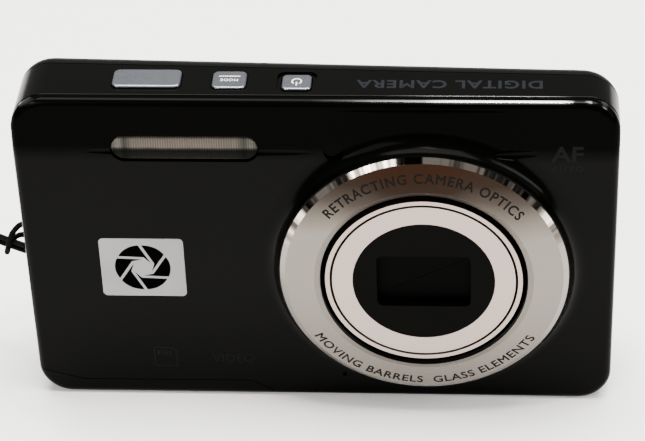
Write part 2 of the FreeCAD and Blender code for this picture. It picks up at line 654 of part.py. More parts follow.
BLADE = [(-7.68, -3.88), (8.0, 4.11), (8.35, 3.4), (9.6, -2.7), (11.1, -2.6), (11.2, -0.9),
         (9.4, 4.5), (8.35, 5.4), (7.68, 5.2), (-7.68, 5.25)]
PIVOT = (10.34, -1.82)
SIDES = (("upper", 1), ("lower", -1))
for side, sign in SIDES:
    shape = slab(f"blade_{side}_sheet", "y", lambda s: outline(s, [
        (f"lens_x + {sign * x}", f"lens_z + {sign * z}") for x, z in BLADE]),
        ("blade_front", "blade_front + blade_thick"))
    bore = rod(f"blade_{side}_bore", "y", (f"lens_x + {sign * PIVOT[0]}",
                                           f"lens_z + {sign * PIVOT[1]}"), 0.45, (-20, 0))
    keep(cut(f"barrier_blade_{side}", shape, bore))
lens_cell_ring = tube_of("lens_cell_ring", 6.0, "inner_barrel_radius - barrel_wall - 0.03",
                         ("blade_front + 0.55", "blade_front + 1.9"))
lens_cell_tube = tube_of("lens_cell_tube", 5.2, 6.3, ("blade_front + 0.8", "blade_front + 3.6"))
blade_pins = [rod(f"blade_pin_{side}", "y", (f"lens_x + {sign * PIVOT[0]}",
                                            f"lens_z + {sign * PIVOT[1]}"), 0.4,
                  ("blade_front - 0.1", "blade_front + 0.7")) for side, sign in SIDES]
keep(fuse("front_lens_cell", lens_cell_ring, lens_cell_tube, *blade_pins))


def lens_element(name, radius, front, back, bulge_front, bulge_back):
    """A glass element: two domed faces on a short cylinder, each with a small flat pole."""
    body = new_body(name)
    sketch = new_sketch(body, "XY_Plane")
    edge = value(radius)
    pole = 0.3
    shoulder = edge * 0.7
    foot, head = value(front), value(back)
    rim = [Vector(edge, foot, 0), Vector(edge, head, 0)]
    poles = [Vector(pole, foot - bulge_front, 0), Vector(pole, head + bulge_back, 0)]
    axis = [Vector(0, foot - bulge_front, 0), Vector(0, head + bulge_back, 0)]
    sides = [Part.LineSegment(axis[0], poles[0]),
             Part.Arc(poles[0], Vector(shoulder, foot - bulge_front * 0.51, 0), rim[0]),
             Part.LineSegment(*rim),
             Part.Arc(rim[1], Vector(shoulder, head + bulge_back * 0.51, 0), poles[1]),
             Part.LineSegment(poles[1], axis[1]),
             Part.LineSegment(axis[1], axis[0])]
    for side in sides:
        sketch.addGeometry(side, False)
    spin = body.newObject("PartDesign::Revolution", name + "_turn")
    spin.Profile = sketch
    spin.ReferenceAxis = (sketch, ["V_Axis"])
    spin.Angle = 360
    return place(body, "lens_x", 0, "lens_z")


keep(lens_element("front_lens", 5.15, -8.5, -7.0, 0.55, 0.1))
keep(cut("shutter_unit",
         tube_of("shutter_ring", 2.6, "inner_barrel_radius - barrel_wall - 0.03",
                 (-4.6, -1.9)),
         tube_of("shutter_seat", 0, 4.05, (-3.6, 0))))
keep(cut("focus_frame",
         fuse("focus_plate", tube_of("focus_cell", 3.2, 5.0, (0.9, 2.3)),
              box("focus_arm", ("lens_x - 1.1", "lens_x + 1.1"), (1.1, 2.1),
                  ("lens_z + 4.4", "lens_z + 10.6")),
              box("focus_guide_arm", ("lens_x - 1", "lens_x + 1"), (1.1, 2.1),
                  ("lens_z - 10.4", "lens_z - 4.4"))),
         rod("nut_bore", "y", ("lens_x", "lens_z + 9.2"), 0.56, (-3, 5)),
         rod("guide_bore", "y", ("lens_x", "lens_z - 9.2"), 0.46, (-3, 5))))
keep(lens_element("focus_lens", 3.15, 1.2, 2.0, 0.15, 0.15))
keep(rod("focus_screw", "y", ("lens_x", "lens_z + 9.2"), 0.5, (-1.2, 2.9)))
keep(rod("focus_motor", "y", ("lens_x", "lens_z + 9.2"), 2.4, (2.95, 5.15)))


# ---------------------------------------------------------------- gears
def toothed(name, teeth, kept, first_angle, bore, y, x, z, web=None):
    """A spur gear about an axis along Y; kept teeth start at an angle in the XZ plane."""
    pitch = value("gear_module") * teeth / 2
    root = pitch - 0.62 * value("gear_module")
    tip = pitch + 0.5 * value("gear_module")
    step = 360 / teeth
    body = new_body(name)
    base = new_sketch(body, "XZ_Plane", f"-({y[0]})")
    circle(base, 0, 0, root if web is None else web)
    circle(base, 0, 0, bore)
    disc = body.newObject("PartDesign::Pad", name + "_disc")
    disc.Profile = base
    disc.Reversed = True
    bind(disc, "Length", f"({y[1]}) - ({y[0]})")
    shape = new_sketch(body, "XZ_Plane", f"-({y[0]})")
    angle = math.radians(first_angle)
    along = Vector(math.cos(angle), math.sin(angle), 0)
    across = Vector(-along.y, along.x, 0)
    foot = 0.27 * value("gear_module") * math.pi
    head = 0.12 * value("gear_module") * math.pi
    tooth = [along * (root - 0.2) - across * foot, along * tip - across * head,
             along * tip + across * head, along * (root - 0.2) + across * foot]
    for i in range(4):
        shape.addGeometry(Part.LineSegment(tooth[i], tooth[(i + 1) % 4]), False)
    for i in range(4):
        shape.addConstraint(Sketcher.Constraint("Coincident", i, 2, (i + 1) % 4, 1))
    pad = body.newObject("PartDesign::Pad", name + "_tooth")
    pad.Profile = shape
    pad.Reversed = True
    bind(pad, "Length", f"({y[1]}) - ({y[0]})")
    teeth_row = body.newObject("PartDesign::PolarPattern", name + "_teeth")
    teeth_row.Originals = [pad]
    teeth_row.Axis = (base, ["N_Axis"])
    teeth_row.Occurrences = kept
    teeth_row.Angle = 360 if kept == teeth else step * (kept - 1)
    body.Tip = teeth_row
    return place(body, x, 0, z)


GEAR_SPAN = ("gear_back - gear_thick", "gear_back")
cam_gear = toothed("cam_gear", 72, 26, 310, "cam_inner", GEAR_SPAN, "lens_x", "lens_z")
keep(fuse("cam_ring", tube_of("cam_tube", "cam_inner", "cam_outer",
                              (-5.4, "gear_back")), cam_gear))
keep(toothed("idler_gear", 20, 20, 135 + 9, 0.66, GEAR_SPAN, "idler_x", "idler_z"))
keep(toothed("motor_pinion", 10, 10, 180, 0.5,
             ("gear_back - gear_thick", "gear_back - 0.1"), "pinion_x", "pinion_z"))
keep(fuse("zoom_motor",
          rod("motor_can", "y", ("pinion_x", "pinion_z"), 3.8, (-4.8, 2.7)),
          rod("motor_boss", "y", ("pinion_x", "pinion_z"), 1.2, (2.6, 3.0))))
base_tube = tube_of("base_tube", "base_inner", "base_outer", ("base_front", "base_back"))
base_plate = rod("base_floor", "y", ("lens_x", "lens_z"), "base_outer",
                 ("base_back - 0.01", "base_back + base_plate"))
gear_plate = block("gear_plate", "y", (24, 42.0), (4.6, 20), ("base_back",
                                                             "base_back + base_plate"), 2.5)
idler_space = rod("idler_space", "y", ("idler_x", "idler_z"), 5.6, (2.7, "base_back"))
idler_pin = rod("idler_pin", "y", ("idler_x", "idler_z"), 0.6, (3.0, "base_back + 0.2"))
guide_rod = rod("guide_rod", "y", ("lens_x", "lens_z - 9.2"), 0.4, (-1.2, "base_back + 0.2"))
sensor_gate = box("sensor_gate", ("lens_x - 4.6", "lens_x + 4.6"), (4, 7),
                  ("lens_z - 3.8", "lens_z + 3.8"))
keep(fuse("lens_base",
          cut("base_open", fuse("base_mass", base_tube, base_plate, gear_plate),
              idler_space, sensor_gate), idler_pin, guide_rod))

# ---------------------------------------------------------------- image sensor
sensor_plate = block("sensor_plate", "y", ("lens_x - 13", "lens_x + 13"),
                     ("lens_z - 10", "lens_z + 10"), (6.25, 6.85), 1.5)
sensor_package = box("sensor_package", ("lens_x - 4.4", "lens_x + 4.4"), (5.3, 6.3),
                     ("lens_z - 3.6", "lens_z + 3.6"))
sensor_filter = box("sensor_filter", ("lens_x - 4.2", "lens_x + 4.2"), (4.75, 5.35),
                    ("lens_z - 3.4", "lens_z + 3.4"))
keep(fuse("image_sensor", sensor_plate, sensor_package, sensor_filter))

# ---------------------------------------------------------------- screen
keep(cut("display_bracket",
         block("bracket_sheet", "y", (-16.2, 41.2), (5.4, 48), (7.3, 7.6), 1.5),
         block("bracket_window", "y", (-6, 34), (13, 40), (6, 9), 3)))
keep(block("display_panel", "y", (-15.9, 40.4), (5.8, 47.6), (7.7, 9.5), 0.6))
display_window = keep(block("display_window", "y", ("window_left", "window_right"),
                            ("window_foot", "window_head"), (9.75, "back_face + 0.1"), 1.5))
soften(display_window, flat_at("y", "back_face + 0.1"), 0.25)

# ---------------------------------------------------------------- top keys
for name, (x, half_x, half_y, radius, proud) in TOP_KEYS.items():
    head = top_block(f"{name}_head", x, half_x, half_y, radius,
                     ("body_height - 2.0", f"body_height + {proud}"))
    soften(head, flat_at("z", f"body_height + {proud}"), 0.3)
    flange = top_block(f"{name}_flange", x, half_x + 0.45, half_y + 0.45, radius,
                       ("body_height - 2.35", "body_height - 1.65"))
    keep(fuse(f"{name}_button", head, flange))
keep(fuse("top_key_board",
          block("top_board_sheet", "z", (-33, 1.5), (-3.4, 2.8),
                ("body_height - 5.2", "body_height - 4.4"), 0.8),
          *[box(f"switch_{name}", (f"{x} - 1.6", f"{x} + 1.6"), (-1.9, 1.3),
                ("body_height - 4.5", "body_height - 3.35"))
            for name, (x, *rest) in TOP_KEYS.items()]))

# ---------------------------------------------------------------- rear keys
KEY_BACK = "back_face + 0.3"
for name, (x, z) in REAR_KEYS.items():
    keep(turned(f"{name}_button", [
        (0, 9.0), ("key_radius + 0.5", 9.0), ("key_radius + 0.5", 9.45),
        ("key_radius", 9.45), ("key_radius", f"{KEY_BACK} - 0.3"),
        ("key_radius - 0.3", KEY_BACK), (0, KEY_BACK)], x, z))
keep(turned("four_way_pad", [
    (4.55, 8.95), (9.7, 8.95), (9.7, 9.35), (9.2, 9.35), (9.2, f"{KEY_BACK} - 0.35"),
    (8.85, KEY_BACK), (4.9, KEY_BACK), (4.55, f"{KEY_BACK} - 0.35")], "pad_x", "pad_z"))
keep(turned("set_button", [
    (0, 9.0), (4.25, 9.0), (4.25, f"{KEY_BACK} - 0.4"), (3.95, f"{KEY_BACK} - 0.1"),
    (0, f"{KEY_BACK} - 0.1")], "pad_x", "pad_z"))
rocker = block("zoom_rocker", "y", ("pad_x - 7.4", "pad_x + 7.4"), (42.6, 48.2),
               (9.4, "back_face + 0.3"), 2.0)
soften(rocker, flat_at("y", "back_face + 0.3"), 0.3)
keep(rocker)
keep(block("rear_key_board", "y", (-41, -18), (6, 49), (7.9, 8.4), 1.5))

# ---------------------------------------------------------------- port, speaker, eyelet
usb_shell = cut("usb_shell", block("usb_case", "x", (-2.35, 0.3), (17.4, 24.6),
                                   (39.2, 44.3), 0.5),
                block("usb_mouth", "x", (-2.05, 0.0), (17.7, 24.3), (40, 46), 0.4))
keep(fuse("usb_socket", usb_shell,
          box("port_board", (38.4, 44.1), (0.25, 1.1), (12.9, 30))))
usb_cover = slab("usb_cover", "x", lambda s: outline(s, corners_of((-3.35, 0.85),
                                                                   (14.95, 27.05))),
                 (44.95, HALF))
soften(usb_cover, lambda e: e.BoundBox.YMin > 0.84 and e.BoundBox.ZLength > 5, 0.38)
keep(usb_cover)
keep(rod("speaker", "x", (-0.3, 42.0), 3.9, (41.0, 43.8)))
keep(rod("strap_bar", "z", (-45.0, "eyelet_y"), 0.58,
         ("eyelet_z - 4.35", "eyelet_z + 4.35")))
body_screws = doc.addObject("Part::Compound", "body_screws")
body_screws.Links = screw_solids
keep(body_screws)

# ---------------------------------------------------------------- wrist strap
keep(block("strap_ferrule", "x", (2.5, 9.5), (0.2, 4.2), (-68.0, -60.0), 1.2))
HITCH_ROUTE = [
    (-60.0, 6.6, 2.4), (-58.4, 6.6, 2.4), (-57.2, 6.6, 4.6), (-57.4, 6.6, 9.0),
    (-58.4, 6.6, 14.6), (-58.4, 6.0, 20.2), (-56.4, 4.4, 24.4), (-52.9, 2.0, 25.45),
    (-49.5, 0.5, 25.12), (-46.9, -0.9, 25.15), (-45.6, -1.15, 24.95), (-43.87, -0.95, 25.1),
    (-43.87, 1.35, 25.9), (-45.7, 1.9, 26.9), (-47.6, 1.9, 27.5), (-48.5, 1.2, 26.95),
    (-49.1, 0.0, 26.6), (-49.5, -1.0, 25.2), (-49.95, -0.75, 23.5), (-50.3, 1.15, 22.7),
    (-49.75, 1.65, 24.0), (-48.8, 1.9, 24.9), (-47.7, 1.95, 25.3), (-45.6, 1.75, 24.9),
    (-43.87, 1.35, 24.3), (-43.87, -0.95, 23.9), (-45.6, -1.15, 23.9), (-47.0, -0.9, 24.16),
    (-49.6, 0.5, 24.1), (-52.7, 1.8, 24.4), (-55.4, 3.6, 23.2), (-57.0, 4.9, 18.6),
    (-57.2, 5.2, 13.2), (-57.0, 5.4, 8.0), (-57.0, 5.4, 4.2), (-58.2, 5.4, 2.4),
    (-60.0, 5.4, 2.4)]
LOOP_ROUTE = [
    (-68.0, 7.3, 2.0), (-71.0, 7.3, 2.0), (-75.0, 7.1, 0.95), (-104.5, 7.1, 0.95),
    (-104.5, -1.1, 0.95), (-75.5, -1.1, 0.95), (-75.5, -4.9, 0.95), (-99.0, -4.9, 0.95),
    (-100.4, -4.2, 0.95), (-103.8, -4.2, 0.95), (-103.8, -7.8, 0.95), (-100.4, -7.8, 0.95),
    (-99.0, -7.1, 0.95), (-73.4, -7.1, 0.95), (-73.4, 1.1, 0.95), (-102.4, 1.1, 0.95),
    (-102.4, 4.9, 0.95), (-75.0, 4.9, 0.95), (-71.0, 4.7, 2.0), (-68.0, 4.7, 2.0)]


def cord(name, route, diameter):
    """A tube along straight runs joined by tangent arcs as large as the runs allow."""
    points = [Vector(*p) for p in route]
    edges = []
    start = points[0]
    tightest = float("inf")
    for before, corner, after in zip(points, points[1:], points[2:]):
        back = before - corner
        on = after - corner
        reach = 0.45 * min(back.Length, on.Length)
        half_turn = (math.pi - back.getAngle(on)) / 2
        radius = reach / math.tan(half_turn)
        tightest = min(tightest, radius)
        back.normalize()
        on.normalize()
        enter = corner + back * reach
        leave = corner + on * reach
        bisector = (back + on).normalize()
        middle = corner + bisector * (radius / math.cos(half_turn) - radius)
        edges.append(Part.LineSegment(start, enter).toShape())
        edges.append(Part.Arc(enter, middle, leave).toShape())
        start = leave
    edges.append(Part.LineSegment(start, points[-1]).toShape())
    path = Part.Wire(edges)
    ring = Part.Wire([Part.Circle(points[0], points[1] - points[0], diameter / 2).toShape()])
    made = doc.addObject("Part::Feature", name)
    made.Shape = path.makePipeShell([ring], True, False)
    print(f"{name}: length {path.Length:.1f}, tightest radius {tightest:.2f}")
    return made


keep(cord("strap_cord", HITCH_ROUTE, 0.9))
keep(cord("strap_loop", LOOP_ROUTE, 1.8))

# ---------------------------------------------------------------- check and write
doc.recompute()
failed = [thing.Name for thing in doc.Objects
          if "Invalid" in thing.State or "Error" in thing.State]
for piece in PIECES:
    if piece.Shape.isNull() or not piece.Shape.isValid() or not piece.Shape.Solids:
        failed.append(piece.Name)
if failed:
    raise RuntimeError("not built: " + ", ".join(failed))
os.makedirs("parts", exist_ok=True)
for piece in PIECES:
    piece.Shape.exportStep(f"parts/{piece.Label}.step")
print(f"{len(PIECES)} sub-parts written")
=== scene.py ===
import math

import bmesh
import bpy
from mathutils import Matrix, Quaternion, Vector
from mathutils.bvhtree import BVHTree


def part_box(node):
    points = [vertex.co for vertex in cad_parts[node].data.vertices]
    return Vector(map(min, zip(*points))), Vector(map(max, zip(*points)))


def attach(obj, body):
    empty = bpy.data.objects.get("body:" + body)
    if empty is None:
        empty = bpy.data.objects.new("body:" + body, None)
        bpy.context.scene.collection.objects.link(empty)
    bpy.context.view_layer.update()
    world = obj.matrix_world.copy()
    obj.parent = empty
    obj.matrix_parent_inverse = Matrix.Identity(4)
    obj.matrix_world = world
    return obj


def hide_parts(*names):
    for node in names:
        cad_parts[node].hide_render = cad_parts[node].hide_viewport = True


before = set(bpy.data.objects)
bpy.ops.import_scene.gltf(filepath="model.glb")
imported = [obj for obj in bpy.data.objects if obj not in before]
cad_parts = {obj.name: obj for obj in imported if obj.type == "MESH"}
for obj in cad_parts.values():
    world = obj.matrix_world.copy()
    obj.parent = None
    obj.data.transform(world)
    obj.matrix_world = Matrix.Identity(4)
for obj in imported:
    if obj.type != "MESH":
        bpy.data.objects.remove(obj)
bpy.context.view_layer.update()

# Sizes in millimetres, in the frame of the CAD.
MM = 0.001
BODY_LENGTH, BODY_HEIGHT = 91.5, 56.0
FRONT = -6.9
UPPER_EDGE_Z = 54.5
LENS = Vector((16.45, 0.0, 26.8))
# RING_LIP_SHADE is how far the painted shade of the bore reaches over the lip at the bottom.
RING_BORE_R, RING_LIP_SHADE = 15.92, 0.6
RING_CREST_R, RING_CREST_Y = 16.8, -11.45
RING_BEVEL_R, RING_BEVEL_Y = 21.3, -10.4
# JOINT_SHADE_HALF is the half width of the painted shade band over the barrels' joint.
BARREL_JOINT_R, JOINT_SHADE_HALF = 14.22, 0.2
RIB_PITCH = 0.37


# ------------------------------------------------------------------ camera
def make_camera():
    """The photograph's viewpoint: above and a little right of the lens axis, slightly rolled."""
    data = bpy.data.cameras.new("view_camera")
    camera = bpy.data.objects.new("view_camera", data)
    bpy.context.collection.objects.link(camera)
    place = Vector((27.635, -319.93, 265.49)) * MM
    yaw, pitch, roll = math.radians(4.8706), math.radians(-36.267), math.radians(-2.382)
    look = Vector((-math.sin(yaw) * math.cos(pitch), math.cos(yaw) * math.cos(pitch),
                   math.sin(pitch)))
    turn = look.to_track_quat("-Z", "Y")
    camera.rotation_mode = "QUATERNION"
    camera.rotation_quaternion = turn @ Quaternion((0, 0, 1), roll)
    camera.location = place
    data.sensor_width = 36.0
    data.lens = 2551.95 / 645 * 36
    data.clip_start, data.clip_end = 0.01, 10
    bpy.context.scene.camera = camera


make_camera()


# ------------------------------------------------------------------ materials
class Nodes:
    """A small helper that wires shader nodes by name."""

    def __init__(self, name):
        self.material = bpy.data.materials.new(name)
        self.material.use_nodes = True
        self.tree = self.material.node_tree
        self.shader = self.tree.nodes["Principled BSDF"]

    def add(self, kind, inputs=None, **settings):
        node = self.tree.nodes.new("ShaderNode" + kind)
        for key, setting in settings.items():
            setattr(node, key, setting)
        for key, given in (inputs or {}).items():
            self.feed(node.inputs[key], given)
        return node

    def feed(self, socket, given):
        if isinstance(given, bpy.types.NodeSocket):
            self.tree.links.new(given, socket)
        elif isinstance(given, bpy.types.Node):
            self.tree.links.new(given.outputs[0], socket)
        else:
            socket.default_value = given

    def set(self, **inputs):
        for key, given in inputs.items():
            self.feed(self.shader.inputs[key.replace("_", " ")], given)

    def math(self, operation, first, second=0.0):
        return self.add("Math", {0: first, 1: second}, operation=operation).outputs[0]

    def ramp(self, factor, *stops):
        node = self.add("ValToRGB", {0: factor})
        ramp = node.color_ramp
        while len(ramp.elements) < len(stops):
            ramp.elements.new(0.5)
        for element, (place, colour) in zip(ramp.elements, stops):
            element.position = place
            element.color = colour if len(colour) == 4 else (*colour, 1)
        return node.outputs[0]

    def noise(self, scale, detail=4.0, stretch=None, roughness=0.5):
        coordinate = self.add("TexCoord").outputs["Object"]
        if stretch:
            coordinate = self.add("Mapping", {"Vector": coordinate, "Scale": stretch}).outputs[0]
        return self.add("TexNoise", {"Vector": coordinate, "Scale": scale, "Detail": detail,
                                     "Roughness": roughness}).outputs[0]

    def bump(self, height, strength, distance, normal=None):
        inputs = {"Height": height, "Strength": strength, "Distance": distance}
        if normal is not None:
            inputs["Normal"] = normal
        return self.add("Bump", inputs).outputs[0]


def grey(level):
    return (level, level, level, 1)


def moulded(name, colour, rough=0.3, grain=1500.0, grain_strength=0.05, level=0.5, smudge=0.08,
            wave=0.0):
    """Moulded or painted plastic: slow colour drift, smudges in the gloss and fine grain."""
    n = Nodes(name)
    drift = n.noise(60.0, 3.0)
    low = tuple(c * 0.86 for c in colour)
    high = tuple(min(c * 1.14, 1) for c in colour)
    marks = n.noise(45.0, 6.0, roughness=0.62)
    dust = n.noise(900.0, 2.0)
    rough_map = n.math("ADD", n.math("MULTIPLY", marks, 2 * smudge), rough - smudge)
    rough_map = n.math("ADD", rough_map, n.math("MULTIPLY", dust, 0.03))
    normal = n.bump(n.noise(grain, 2.0), grain_strength, 0.00002)
    if wave:
        normal = n.bump(n.noise(22.0, 1.0), wave, 0.002, normal)
    n.set(Base_Color=n.ramp(drift, (0.3, low), (0.7, high)), Roughness=rough_map, Normal=normal,
          Specular_IOR_Level=level(n) if callable(level) else level)
    return n.material


def metal(name, colour, rough=0.25, brush=(1, 1, 1), strength=0.1, scale=900.0):
    """Metal with handling marks and fine lines, stretched along the brushing."""
    n = Nodes(name)
    smudge = 0.06
    lines = n.noise(scale, 5.0, stretch=brush)
    marks = n.noise(70.0, 5.0)
    rough_map = n.math("ADD", n.math("MULTIPLY", marks, 2 * smudge), rough - smudge)
    rough_map = n.math("ADD", rough_map, n.math("MULTIPLY", lines, 0.08))
    low = tuple(c * 0.93 for c in colour)
    n.set(Base_Color=n.ramp(lines, (0.25, low), (0.75, colour)), Metallic=1.0,
          Roughness=rough_map, Normal=n.bump(lines, strength, 0.00003))
    return n.material


def clear(name, colour, rough=0.05, ior=1.5):
    """A clear moulding or glass element."""
    n = Nodes(name)
    n.set(Base_Color=(*colour, 1), Transmission_Weight=1.0, IOR=ior,
          Roughness=n.math("ADD", n.math("MULTIPLY", n.noise(80.0, 4.0), 0.05), rough),
          Normal=n.bump(n.noise(300.0, 2.0), 0.02, 0.00002))
    return n.material


def ink(name, colour, rough=0.45, level=0.1):
    """Printing ink: slightly uneven, over the moulding below."""
    n = Nodes(name)
    wear = n.noise(1200.0, 3.0)
    low = tuple(c * 0.8 for c in colour)
    n.set(Base_Color=n.ramp(wear, (0.3, low), (0.7, colour)), Roughness=rough,
          Normal=n.bump(wear, 0.1, 0.00002), Specular_IOR_Level=level)
    return n.material


def braid(name, colour, pitch):
    """Braided nylon: crossing strands along and round the cord, with loose fibre."""
    n = Nodes(name)
    fibre = n.noise(2500.0, 3.0)
    plait = n.add("TexWave", {"Vector": n.add("TexCoord").outputs["Object"], "Scale": pitch,
                              "Distortion": 3.0, "Detail": 2.0, "Detail Scale": 2.0},
                  wave_type="BANDS", bands_direction="DIAGONAL").outputs[1]
    low = tuple(c * 0.45 for c in colour)
    n.set(Base_Color=n.ramp(n.math("MULTIPLY", n.math("ADD", plait, fibre), 0.5),
                            (0.3, low), (0.75, colour)),
          Roughness=0.8, Specular_IOR_Level=0.04, Sheen_Weight=0.015, Sheen_Roughness=0.5,
          Normal=n.bump(fibre, 0.25, 0.00005, n.bump(plait, 0.8, 0.00015)))
    return n.material


def upper_edge(n, *stops):
    """How polished the rounded upper edge is, by the share of the body's width along it."""
    rise = n.add("SeparateXYZ", {0: n.add("TexCoord").outputs["Normal"]}).outputs["Z"]
    turn = n.ramp(rise, (0.62, grey(0)), (0.76, grey(1)), (0.91, grey(1)), (0.96, grey(0)))
    place = n.add("SeparateXYZ", {0: n.add("TexCoord").outputs["Object"]}).outputs
    turn = n.math("MULTIPLY", turn, n.math("GREATER_THAN", place["Z"], UPPER_EDGE_Z * MM))
    share = n.math("ADD", n.math("MULTIPLY", place["X"], 1 / (BODY_LENGTH * MM)), 0.5)
    waver = n.math("MULTIPLY", n.math("SUBTRACT", n.noise(700.0, 2.0), 0.5), 0.015)
    share = n.math("ADD", share, waver)
    gloss = n.ramp(share, *((place, grey(level)) for place, level in stops))
    return n.math("MULTIPLY", turn, gloss)


def front_gloss(n):
    """Even gloss, duller on the brow above the crease, polished along the upper edge."""
    height = n.add("SeparateXYZ", {0: n.add("TexCoord").outputs["Object"]}).outputs["Z"]
    brow = n.ramp(n.math("MULTIPLY", height, 1 / (BODY_HEIGHT * MM)), (0.82, grey(0.032)),
                  (0.865, grey(0.010)))
    edge = upper_edge(n, (0.0, 0.0), (0.012, 0.3), (0.03, 0.3), (0.045, 0.004), (0.5, 0.004),
                      (0.56, 0.03), (0.68, 0.2), (0.73, 1.0), (0.905, 1.0), (0.925, 0.01),
                      (0.943, 0.01), (0.948, 0.3), (0.953, 0.01), (0.968, 0.01), (0.974, 0.4),
                      (0.98, 0.01), (0.99, 0.0))
    return n.math("ADD", brow, n.math("MULTIPLY", edge, 2.6))


def band_gloss(n):
    """Even gloss, polished along the right half of the upper edges."""
    edge = upper_edge(n, (0.0, 0.0), (0.62, 0.0), (0.72, 0.35), (0.88, 0.35), (0.92, 0.0))
    return n.math("ADD", edge, 0.035)


FRONT_BLACK = moulded("front_black", (0.0006, 0.0006, 0.0005), rough=0.14, grain_strength=0.02,
                      level=front_gloss, smudge=0.05, wave=0.02)
BAND_BLACK = moulded("band_black", (0.0008, 0.0008, 0.0007), rough=0.16, grain_strength=0.02,
                     level=band_gloss, smudge=0.05, wave=0.02)
REAR_BLACK = moulded("rear_black", (0.0018, 0.0018, 0.0018), rough=0.45, grain=2600.0,
                     grain_strength=0.3, level=0.03, smudge=0.06)
DOOR_BLACK = moulded("door_black", (0.0006, 0.0006, 0.0005), rough=0.17, grain_strength=0.02,
                     level=0.032, smudge=0.05)
KEY_SILVER = metal("key_silver", (0.16, 0.17, 0.19), rough=0.24, strength=0.03, scale=2400.0)
CAP_BLACK = moulded("cap_black", (0.0008, 0.0008, 0.0006), rough=0.40, grain_strength=0.15,
                    level=0.017)
BLADE_BLACK = moulded("blade_black", (0.0006, 0.0006, 0.0005), rough=0.45, grain_strength=0.2,
                      level=0.012)
INNER_BLACK = moulded("inner_black", (0.004, 0.004, 0.004), rough=0.7, grain_strength=0.4,
                      level=0.1)
INNER_GREY = moulded("inner_grey", (0.12, 0.12, 0.125), rough=0.5, grain_strength=0.3)
ACETAL = moulded("acetal_white", (0.6, 0.59, 0.54), rough=0.45, grain_strength=0.15)
STEEL = metal("steel_sheet", (0.4, 0.4, 0.4), rough=0.32, brush=(1, 12, 1), strength=0.08)
PLATED = metal("plated_steel", (0.55, 0.55, 0.54), rough=0.16, strength=0.03)
SCREW_BLACK = metal("screw_black_zinc", (0.035, 0.035, 0.038), rough=0.3, strength=0.05)
BRASS = metal("brass_turned", (0.55, 0.40, 0.17), rough=0.24, strength=0.05)
CELL_GREY = moulded("cell_sleeve", (0.06, 0.064, 0.075), rough=0.4, grain_strength=0.1)
CARD_BLACK = moulded("card_black", (0.012, 0.012, 0.015), rough=0.5, grain_strength=0.2)
RUBBER = moulded("rubber_black", (0.006, 0.006, 0.006), rough=0.62, grain_strength=0.5, level=0.15)
BADGE_GREY = moulded("badge_grey", (0.22, 0.22, 0.223), rough=0.38, grain_strength=0.06, level=0.3)
BADGE_INK = ink("badge_ink", (0.0009, 0.0009, 0.0009), level=0.0)
TOP_INK = ink("top_ink", (0.0075, 0.0088, 0.0105), level=0.04)
FAINT_INK = ink("faint_ink", (0.0028, 0.0029, 0.0034), rough=0.25, level=0.03)
ENGRAVED = ink("engraved_dark", (0.0045, 0.0038, 0.003), rough=0.5, level=0.04)
KEY_INK = ink("key_ink", (0.75, 0.74, 0.72), rough=0.4)
REAR_INK = ink("rear_ink", (0.16, 0.165, 0.17))
LAMP_GLASS = moulded("lamp_glass", (0.0006, 0.0003, 0.0003), rough=0.05, grain_strength=0.0,
                     level=0.012, smudge=0.02)
OPTIC = clear("coated_optic", (0.82, 0.88, 0.95), rough=0.0, ior=1.62)
STRAP = braid("strap_braid", (0.0032, 0.0032, 0.0032), 420.0)


def circuit_board():
    """Solder mask with the faint relief of its tracks."""
    n = Nodes("board_green")
    tracks = n.add("TexBrick", {"Vector": n.add("TexCoord").outputs["Object"], "Scale": 220.0,
                                "Color1": grey(0.2), "Color2": grey(0.8), "Mortar": grey(1.0)})
    n.set(Base_Color=n.ramp(tracks.outputs[0], (0.0, (0.012, 0.10, 0.045)),
                            (1.0, (0.03, 0.17, 0.08))),
          Roughness=0.38, Normal=n.bump(tracks.outputs[0], 0.3, 0.00003))
    return n.material


BOARD_GREEN = circuit_board()


def screen_cover():
    """Glossy screen cover: black border round the bluish dark picture area, with smudges."""
    n = Nodes("screen_cover")
    place = n.add("SeparateXYZ", {0: n.add("TexCoord").outputs["Object"]}).outputs
    low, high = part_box("display_window")
    inside = 1.0
    for axis, margin in (("X", 0.0022), ("Z", 0.0026)):
        index = "XYZ".index(axis)
        middle, half = (low[index] + high[index]) / 2, (high[index] - low[index]) / 2 - margin
        away = n.math("ABSOLUTE", n.math("SUBTRACT", place[axis], middle))
        inside = n.math("MULTIPLY", n.math("LESS_THAN", away, half), inside)
    smudges = n.ramp(n.noise(55.0, 6.0, roughness=0.65), (0.35, grey(0.035)), (0.75, grey(0.16)))
    colour = n.add("Mix", {0: inside, 6: (0.0012, 0.0012, 0.0014, 1),
                           7: (0.0055, 0.0062, 0.0085, 1)}, data_type="RGBA").outputs[2]
    n.set(Base_Color=colour, Roughness=smudges, Specular_IOR_Level=0.22)
    return n.material


SCREEN_BLACK = screen_cover()


# ------------------------------------------------------------------ floor and light
def make_floor():
    mesh = bpy.data.meshes.new("pale_floor")
    side = 3.0
    mesh.from_pydata([(-side, -side, 0), (side, -side, 0), (side, side, 0), (-side, side, 0)],
                     [], [(0, 1, 2, 3)])
    floor = bpy.data.objects.new("pale_floor", mesh)
    bpy.context.collection.objects.link(floor)
    n = Nodes("pale_floor")
    n.set(Base_Color=n.ramp(n.noise(3.0, 4.0), (0.3, grey(0.90)), (0.7, grey(0.93))),
          Roughness=0.75, Normal=n.bump(n.noise(500.0, 2.0), 0.05, 0.0002),
          Specular_IOR_Level=0.2)
    mesh.materials.append(n.material)


def softbox(name, place, target, size, power, tint=(1, 1, 1)):
    light = bpy.data.lights.new(name, "AREA")
    light.shape = "RECTANGLE"
    light.size, light.size_y = size
    light.energy = power
    light.color = tint
    lamp = bpy.data.objects.new(name, light)
    bpy.context.collection.objects.link(lamp)
    lamp.location = place
    lamp.rotation_mode = "QUATERNION"
    lamp.rotation_quaternion = (Vector(target) - Vector(place)).to_track_quat("-Z", "Y")


